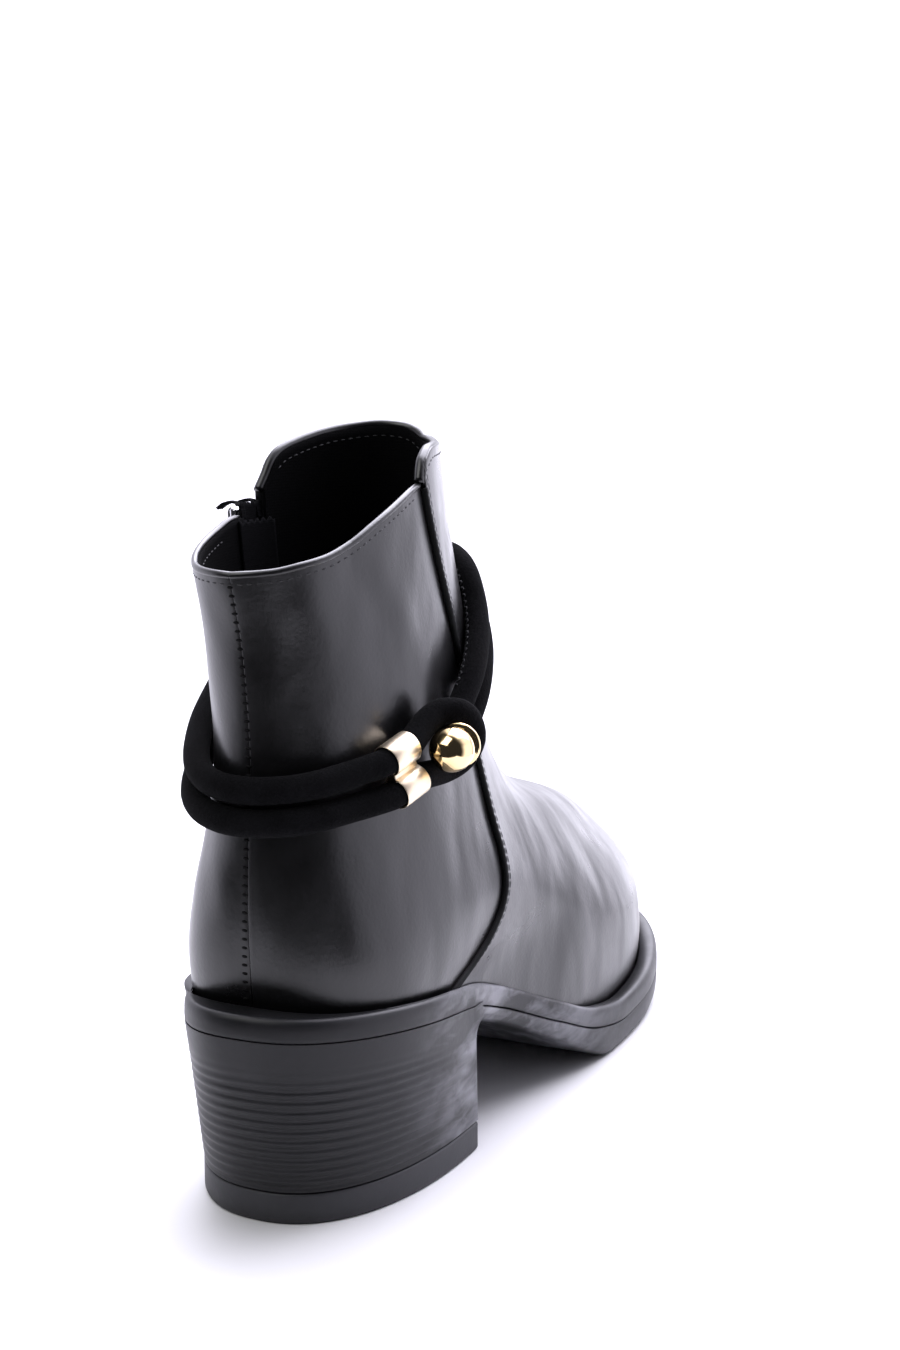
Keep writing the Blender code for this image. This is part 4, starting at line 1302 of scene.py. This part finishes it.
# Sole
@dataclass
class SoleUnit:
    """Rubber heel and plate, rand, top lift and insole."""

    last: Last
    breast_x: float = 70.0
    lift_height: float = 8.0
    gap: float = 0.5
    seat_gap: float = 0.12
    rand_height: float = 6.3
    rand_foot: float = 1.7
    rand_lip: float = 2.0
    ribs: int = 13
    rib_depth: float = 0.45
    rib_top: float = 0.86
    breast_radius: float = 5.0
    plate_shy: float = 0.4
    plate_top: float = 0.15
    tread_pitch: float = 6.0
    tread_depth: float = 0.8
    insole_inset: float = 3.7

    def build(self) -> None:
        """Make all the pieces under the upper."""
        bm = bmesh.new()
        self.heel(bm)
        self.plate(bm)
        bevelled(add_piece("heel_and_sole", bm, RUBBER, replaces=["outsole"]), 0.5, 2, 55.0)
        self.rand()
        self.lift()
        self.insole()

    def heel_side(self, w: Array, level: float) -> Array:
        """Points of the heel's side at one level.

        Args:
            w: place from the inner breast edge at -1 round the back to the outer one at 1.
            level: 0 at the lift, 1 at the rand.

        Returns:
            Points in millimetres.
        """
        outer = float(turn_at(SOLE, np.float64(self.breast_x), Side.LATERAL))
        inner = 1 - float(turn_at(SOLE, np.float64(self.breast_x), Side.MEDIAL))
        top = np.stack(sole_plan(w * np.where(w >= 0, outer, inner)), -1)
        low = np.stack(outline(LIFT, w * 0.25, 0.0), -1)
        p = low + (top - low) * level
        phase = level * self.ribs / self.rib_top
        groove = self.rib_depth * math.sin(math.pi * phase) ** 2 * float(1 - fade(level, 0.68, self.rib_top))
        away = unit(p - (ORIGIN_X, 0.0))
        p = p - away * (groove * fade(self.breast_x - 4 - p[:, 0], 0, 30))[:, None]
        bottom = self.lift_height + self.gap
        return np.column_stack([p, bottom + (joint(p[:, 0]) - bottom) * level])

    def heel(self, bm: Mesh) -> None:
        """Add the ribbed block.

        Args:
            bm: mesh that takes it.
        """
        fine = np.linspace(1, -1, 900)
        w = even(np.column_stack([self.heel_side(fine, 0.5), fine]), 170)[:, 3]
        ribbed, plain = np.linspace(0, self.rib_top, self.ribs * 8 + 1), np.linspace(self.rib_top, 1, 12)
        shank = float(underside(np.float64(self.breast_x)))
        radius = self.breast_radius
        loops = []
        for level in np.concatenate([ribbed, plain[1:]]):
            side = self.heel_side(w, level)
            face = side[-1] + (side[0] - side[-1]) * np.linspace(0, 1, 24)[:, None]
            drop = np.clip(shank - face[:, 2], 0, radius)
            face[:, 0] += radius - np.sqrt(radius ** 2 - (radius - drop) ** 2)
            side[0], side[-1] = face[-1], face[0]
            loops.append(np.concatenate([side, face[1:]]))
        solid(bm, np.array(loops).transpose(1, 0, 2))

    def plate(self, bm: Mesh) -> None:
        """Add the shank and forefoot plate with its shallow tread.

        Args:
            bm: mesh that takes it.
        """
        start = self.breast_x - 8.0
        x = start + (SOLE.front - start) * np.sin(np.linspace(0, 0.5 * math.pi, 190))
        lengths = np.concatenate([x, x[::-1][1:]])
        outer, inner = (np.stack(sole_plan(turn_at(SOLE, x, side)), -1)
                        for side in (Side.LATERAL, Side.MEDIAL))
        edge = np.concatenate([outer, inner[::-1][1:]])
        middle = 0.5 * (edge + np.concatenate([inner, outer[::-1][1:]]))
        inward = unit(middle - edge + (1e-6, 0.0))
        reach = np.linalg.norm(middle - edge, axis=1)
        shy = self.plate_shy * (1 - fade(lengths, start + 2, self.breast_x))
        low, high = underside(lengths), joint(lengths)
        top = high - self.plate_top
        loops = [np.column_stack([middle, top])]
        for inset, z in ((3.0, top), (0.5, top), (0.0, high - 0.6), (0.0, 0.5 * (low + high)),
                         (0.1, low + 2.2), (0.5, low + 1.1), (1.3, low + 0.4), (3.0, low)):
            loops.append(np.column_stack([edge + inward * np.minimum(shy + inset, reach)[:, None], z]))
        rim = loops[-1][:, :2]
        for share in np.linspace(0, 1, 26)[1:]:
            p = rim + (middle - rim) * share
            wave = np.sin(2 * math.pi * p[:, 0] / self.tread_pitch + 0.5 * np.cos(p[:, 1] / 7.0))
            ends = fade(p[:, 0], 140, 150) * (1 - fade(p[:, 0], 232, 240))
            tread = self.tread_depth * fade(wave, 0.2, 0.7) * fade(share, 0.1, 0.2) * ends
            loops.append(np.column_stack([p, low + tread]))
        solid(bm, np.array(loops).transpose(1, 0, 2))

    def rand(self) -> None:
        """Strip round the foot of the upper, with a rounded lip."""
        count, high = 420, self.rand_height
        fine = np.linspace(0, 1, 3000)
        z = self.last.foot(lambda h: fine, high, len(fine))
        turns = even(np.column_stack([self.last.point(fine, z), fine]), count)[:, 3]
        inner = []
        for rise, lift in ((self.seat_gap, self.rand_foot), (0.5 * high, self.rand_foot),
                           (high - 0.5, self.rand_lip), (high, self.rand_lip)):
            p = self.last.lifted(turns, self.last.foot(lambda v: turns, rise, count), lift)
            p[:, 2] = joint(p[:, 0]) + rise
            inner.append(p)
        edge = np.linspace(0, 1, 16001)
        ex, ey = sole_plan(edge)
        near = np.array([edge[np.argmin((ex - p[0]) ** 2 + (ey - p[1]) ** 2)] for p in inner[1]])
        near[0], near[-1] = 0.0, 1.0
        loops = [inner[0]]
        for grow, rise in ((-0.8, 0.12), (-0.25, 0.16), (-0.04, 0.5), (0.05, 1.4), (0.0, 3.0), (-0.1, 4.4),
                           (-0.45, 5.4), (-1.0, 6.0), (-1.7, 6.3), (-2.3, 6.2)):
            x, y = sole_plan(near, grow)
            loops.append(np.column_stack([x, y, joint(x) + rise]))
        bm = bmesh.new()
        solid(bm, np.array(loops + inner[::-1]).transpose(1, 0, 2))
        add_piece("rand_strip", bm, RUBBER, replaces=["rand"])

    def lift(self) -> None:
        """Wearing piece under the heel."""
        fine = np.linspace(0.25, -0.25, 900)
        top = self.lift_height
        loops = []
        for inset, z in ((0.9, 0.0), (0.3, 0.25), (0.0, 0.9), (0.0, 4.0), (0.0, top - 0.6),
                         (0.15, top - 0.15), (0.6, top)):
            s = LIFT._replace(back=LIFT.back + inset, lateral=LIFT.lateral - inset,
                              medial=LIFT.medial - inset)
            side = even(np.stack(outline(s, fine, 0.0), -1), 150)
            face = side[-1] + (side[0] - side[-1]) * np.linspace(0, 1, 20)[1:, None]
            ring = np.concatenate([side, face])
            loops.append(np.column_stack([ring, np.full(len(ring), z)]))
        bm = bmesh.new()
        solid(bm, np.array(loops).transpose(1, 0, 2))
        piece = add_piece("heel_wearing_lift", bm, LIFT_RUBBER, replaces=["top_lift"])
        bevelled(piece, 0.5, 2, 55.0)

    def insole(self) -> None:
        """Sock on the sole inside the upper, its top following the sole from side to side."""
        count = 121
        skins = []
        for rise, crown in ((0.45, 0.0), (2.6, 0.6)):
            edges = []
            for turns in (np.linspace(0.002, 0.498, count), np.linspace(0.998, 0.502, count)):
                z = self.last.foot(lambda v: turns, rise, count)
                edges.append(self.last.lifted(turns, z, -self.insole_inset))
            rows = []
            for share in np.linspace(0, 1, 17):
                p = edges[0] + (edges[1] - edges[0]) * share
                p[:, 2] = joint(p[:, 0]) + rise + crown * min(1.0, 16 * share, 16 * (1 - share))
                rows.append(p)
            skins.append(np.array(rows))
        bm = bmesh.new()
        closed(bm, skins)
        weld(bm)
        add_piece("insole_sock", bm, LINING, replaces=["insole"])


# Cord, clamp and ball
@dataclass
class AnkleCord:
    """Napped cord doubled round the ankle, with its clamp and its ball."""

    last: Last
    radius: float = 3.4
    sides: int = 24
    clamp_at: Loop = Loop(0.173, 112.2, 5.3)
    clamp_rise: float = 17.0
    clamp_length: float = 9.0
    clamp_radius: float = 4.1
    clamp_bore: float = 3.7
    clamp_pitch: float = 8.9
    clamp_rounding: float = 0.15
    land_size: tuple[float, float] = (4.2, 2.6)
    ball_at: Loop = Loop(0.208, 115.9, 12.4)
    ball_radius: float = 5.75
    cup_radius: float = 5.8
    second_from: int = 2
    seam_swing: float = 0.7
    seam_facing: Triple = (-0.85, 0.35, 0.1)

    def build(self) -> None:
        """Make the cord and its fittings."""
        self.cord()
        self.zigzag()
        self.clamp()
        self.ball()

    def clamp_frame(self) -> tuple[Array, Array, Array, Array]:
        """Where the clamp sits.

        Returns:
            Its middle with its axis, the way across its bores and the way out.
        """
        turn, z, lift = self.clamp_at
        spot, out = self.last.lifted(turn, z, lift), self.last.normal(turn, z)
        level = self.last.level(turn, z, self.last.level_step)
        level = unit(level - out * level.dot(out))
        rise = math.radians(self.clamp_rise)
        axis = math.cos(rise) * level + math.sin(rise) * np.cross(out, level)
        return spot, axis, np.cross(out, axis), out

    def second_strand(self) -> list[Loop]:
        """The lower strand: the upper one moved sideways by its pitch, ending behind the loop.

        Returns:
            Its table.
        """
        point = self.last.point
        rows = []
        for k, r in list(enumerate(STRAP))[self.second_from:]:
            a, b = STRAP[max(k - 1, 0)], STRAP[min(k + 1, len(STRAP) - 1)]
            along = point(b.turn, b.height) - point(a.turn, a.height)
            side = unit(np.cross(along, self.last.normal(r.turn, r.height))) * r.pitch
            side = -side if side[2] > 0 else side
            by_turn = self.last.level(r.turn, r.height, 0.001) / 0.002
            by_height = point(r.turn, r.height + 0.5) - point(r.turn, r.height - 0.5)
            move = np.linalg.lstsq(np.stack([by_turn, by_height], 1), side, rcond=None)[0]
            rows.append(Loop(r.turn + move[0], r.height + move[1], r.lift))
        return rows

    def smooth_path(self, rows: Sequence[NamedTuple]) -> Array:
        """Fine points of a curve through table rows.

        Args:
            rows: a table of places off the upper.

        Returns:
            The points.
        """
        table = tuple(Stop(k, r.turn, r.height, r.lift) for k, r in enumerate(rows))
        fine = np.linspace(0, len(rows) - 1, 24 * len(rows))
        return self.last.lifted(*(blend(table, "number", name, fine) for name in Loop._fields))

    def path(self) -> Array:
        """Even points of the whole cord, straight where the clamp holds it.

        Returns:
            The points of its middle line.
        """
        spot, axis, across, _ = self.clamp_frame()
        half = 0.5 * self.clamp_length + 1.0
        high, low = spot + 0.5 * self.clamp_pitch * across, spot - 0.5 * self.clamp_pitch * across
        if high[2] < low[2]:
            high, low = low, high
        rough = np.concatenate([self.smooth_path(STRAP)[:-6], [high - half * axis, high + half * axis],
                                self.smooth_path(LOOP), [low + half * axis, low - half * axis],
                                self.smooth_path(self.second_strand())[::-1][6:]])
        path = even(rough, 900)
        kernel = np.hanning(9)
        kernel = kernel / kernel.sum()
        padded = np.concatenate([np.repeat(path[:1], 4, 0), path, np.repeat(path[-1:], 4, 0)])
        return np.stack([np.convolve(column, kernel, "valid") for column in padded.T], -1)

    def cord(self) -> None:
        """Round tube with a slightly uneven skin."""
        path = self.path()
        step = np.arange(len(path))
        swell = self.radius * (1 + 0.012 * np.sin(0.21 * step) + 0.008 * np.sin(0.077 * step + 1.0))
        bm = bmesh.new()
        tube(bm, path, swell, self.sides, np.cross(unit(path[1] - path[0]), UP))
        add_piece("napped_ankle_cord", bm, SUEDE, replaces=["ankle_cord"])

    def zigzag(self) -> None:
        """Sewn seam on the inner edge of the strap where it rises over the instep."""
        path = even(self.smooth_path([r for r in STRAP if 0.28 < r.turn < 0.47]), 50)
        tangent = unit(np.gradient(path, axis=0))
        facing = np.array(self.seam_facing)
        out = unit(facing - tangent * (tangent @ facing)[:, None])
        swing = np.where(np.arange(len(path)) % 2 == 0, self.seam_swing, -self.seam_swing)[:, None]
        spots = path + out * (self.radius + 0.02) + np.cross(tangent, out) * swing
        bm = bmesh.new()
        for a, b, n in zip(spots, spots[1:], out):
            stitch(bm, a, b, n, 0.5, 0.5)
        add_piece("cord_seam", bm, THREAD)

    def clamp(self) -> None:
        """Two sleeves side by side with a flat land between them."""
        spot, axis, across, out = self.clamp_frame()
        half = 0.5 * self.clamp_length
        near, bore, radius = half - self.clamp_rounding, self.clamp_bore, self.clamp_radius
        profile = ((bore, -near), (bore + 0.2, -half), (radius - 0.1, -half), (radius, -near), (radius, near),
                   (radius - 0.1, half), (bore + 0.2, half), (bore, near), (bore, -near))
        bm = bmesh.new()
        for side in (0.5, -0.5):
            lathe(bm, profile, spot + side * self.clamp_pitch * across, (axis, across, out), 40)
        land = (self.clamp_length - 0.3, *self.land_size)
        block(bm, as_matrix(spot, (axis, across, out), land), 0.2, 2)
        add_piece("gold_clamp", bm, SATIN_GOLD, replaces=["cord_clamp"])

    def ball(self) -> None:
        """Ball with a neck and the cup that ends the strap."""
        turn, z, lift = self.ball_at
        spot, out = self.last.lifted(turn, z, lift), self.last.normal(turn, z)
        forward = unit(self.last.level(turn, z, self.last.level_step))
        axis = unit(forward - 0.2 * out + (0.0, 0.0, 0.06))
        side = unit(np.cross(axis, UP))
        arc = np.radians(np.linspace(180, 41, 40))
        profile = [(self.ball_radius * math.sin(a), self.ball_radius * math.cos(a)) for a in arc]
        rim = self.cup_radius
        profile += [(3.9, 4.45), (rim - 0.35, 4.5), (rim - 0.1, 4.65), (rim, 4.95), (rim - 0.05, 5.4),
                    (rim - 0.3, 5.8), (rim - 0.7, 6.0), (0.0, 6.0)]
        bm = bmesh.new()
        lathe(bm, profile, spot, (axis, side, np.cross(axis, side)), 48)
        add_piece("gold_ball_and_cup", bm, GOLD, replaces=["ball_toggle"])


# Studio
@dataclass
class Studio:
    """Floor, lights and camera."""

    camera_at: Triple = (-0.4282, -0.2325, 0.2166)
    aim: Triple = (0.0210, -0.0297, 0.1324)
    lens: float = 51.95
    sensor: float = 36.0
    floor_tone: float = 0.62
    floor_rough: float = 0.6
    floor_at: float = 0.08
    floor_near: float = 0.27
    floor_wide: float = 6.0
    floor_drop: float = 0.0001
    dark: float = 0.03
    ring_turn: float = 12.0
    ring_levels: Triple = (0.8, 3.1, 1.75)
    ring_ahead: Band = (0.9, 0.99)
    ring_beside: Band = (0.38, 0.64)
    ring_behind: Band = (-0.5, 0.0)
    ring_sink: Band = (0.0, 0.25)
    ring_rise: Band = (0.2, 0.5)
    ring_fall: float = 0.25
    bank: float = 10.0
    bank_beside: float = 1.5
    bank_from: Band = (-0.22, 0.45)
    bank_until: Band = (0.85, 0.97)
    bank_left: float = 0.25
    bank_rise: Band = (0.2, 0.6)
    backdrop: float = 1.3
    fill_at: Triple = (-0.7, 0.3, 1.1)
    fill_size: float = 1.0
    fill_power: float = 9.0
    light_tint: tuple[float, float, float, float] = (0.89, 0.875, 1.0, 1.0)

    def build(self) -> None:
        """Set up the stage."""
        self.camera()
        self.floor()
        self.sky()
        self.fill()

    def aimed(self, name: str, data: bpy.types.ID, place: Triple, target: Triple) -> Piece:
        """Object at a place that looks at another one.

        Args:
            name: the object's name.
            data: its camera or lamp.
            place: where it stands.
            target: where it looks.

        Returns:
            The object.
        """
        made = placed(name, data)
        made.location = place
        made.rotation_euler = (Vector(target) - Vector(place)).to_track_quat("-Z", "Y").to_euler()
        return made

    def camera(self) -> None:
        """Camera at the photograph's angle."""
        data = bpy.data.cameras.new("camera")
        data.sensor_fit = "VERTICAL"
        data.sensor_height = self.sensor
        data.lens = self.lens
        data.clip_start = 0.01
        bpy.context.scene.camera = self.aimed("camera", data, self.camera_at, self.aim)

    def fill(self) -> None:
        """Weak panel behind the heel that takes the shade off the floor there and lights the top edges."""
        data = bpy.data.lights.new("fill", "AREA")
        data.size = self.fill_size
        data.energy = self.fill_power
        self.aimed("fill", data, self.fill_at, (0.0, 0.0, 0.0))

    def floor(self) -> None:
        """Plain pale floor: a near sheet that the boot mirrors, and a wide one under it."""
        made = bpy.data.materials.new("pale_floor")
        made.use_nodes = True
        shader = made.node_tree.nodes["Principled BSDF"]
        shader.inputs["Base Color"].default_value = (self.floor_tone, self.floor_tone, self.floor_tone, 1.0)
        shader.inputs["Roughness"].default_value = self.floor_rough
        for name, size, drop in (("floor_near", self.floor_near, 0.0),
                                 ("floor_wide", self.floor_wide, self.floor_drop)):
            bm = bmesh.new()
            place = Matrix.Translation((self.floor_at, 0.0, -drop))
            bmesh.ops.create_grid(bm, x_segments=1, y_segments=1, size=size, matrix=place)
            sheet = as_object(name, bm, made)
            sheet.visible_glossy = drop == 0.0

    def sky(self) -> None:
        """White surround: a ring at the horizon, bright ahead and beside, and a bank above the toe."""
        world = bpy.data.worlds.new("white_surround")
        world.use_nodes = True
        wires = Wiring(world.node_tree)
        way = wires.add("TexCoord", {}).outputs["Generated"]
        x, y, z = wires.add("SeparateXYZ", {"Vector": way}).outputs
        turn = math.radians(self.ring_turn)
        facing = wires.math("ADD", wires.math("MULTIPLY", x, math.cos(turn)),
                            wires.math("MULTIPLY", y, math.sin(turn)))
        aside = wires.add("Math", {0: y}, operation="ABSOLUTE").outputs[0]
        low, ahead, beside = self.ring_levels
        front = wires.ramp(z, self.ring_sink, (ahead, 0.5 * ahead))
        ring = wires.mix(wires.ramp(x, self.ring_ahead), low, front)
        ring = wires.mix(wires.ramp(aside, self.ring_beside), ring, beside)
        ring = wires.math("MULTIPLY", ring, wires.ramp(facing, self.ring_behind),
                          wires.ramp(z, self.ring_rise, (1.0, self.ring_fall)))
        bank = wires.math("MULTIPLY", wires.ramp(x, self.bank_from), wires.ramp(z, self.bank_rise),
                          wires.ramp(aside, self.ring_beside, (self.bank, self.bank_beside)),
                          wires.ramp(x, self.bank_until, (1.0, self.bank_left)))
        glow = wires.math("ADD", ring, bank, self.dark)
        seen = wires.add("LightPath", {}).outputs["Is Camera Ray"]
        wires.feed(world.node_tree.nodes["Background"],
                   {"Strength": wires.mix(seen, glow, self.backdrop), "Color": self.light_tint})
        bpy.context.scene.world = world
        bpy.context.scene.view_settings.view_transform = "Standard"


def main() -> None:
    """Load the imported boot, dress it and set the stage."""
    logging.basicConfig(level=logging.INFO, format="%(name)s %(message)s")
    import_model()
    last = Last()
    Studio().build()
    Upper(last).build()
    SoleUnit(last).build()
    Zip(last).build()
    AnkleCord(last).build()


if __name__ == "__main__":
    main()
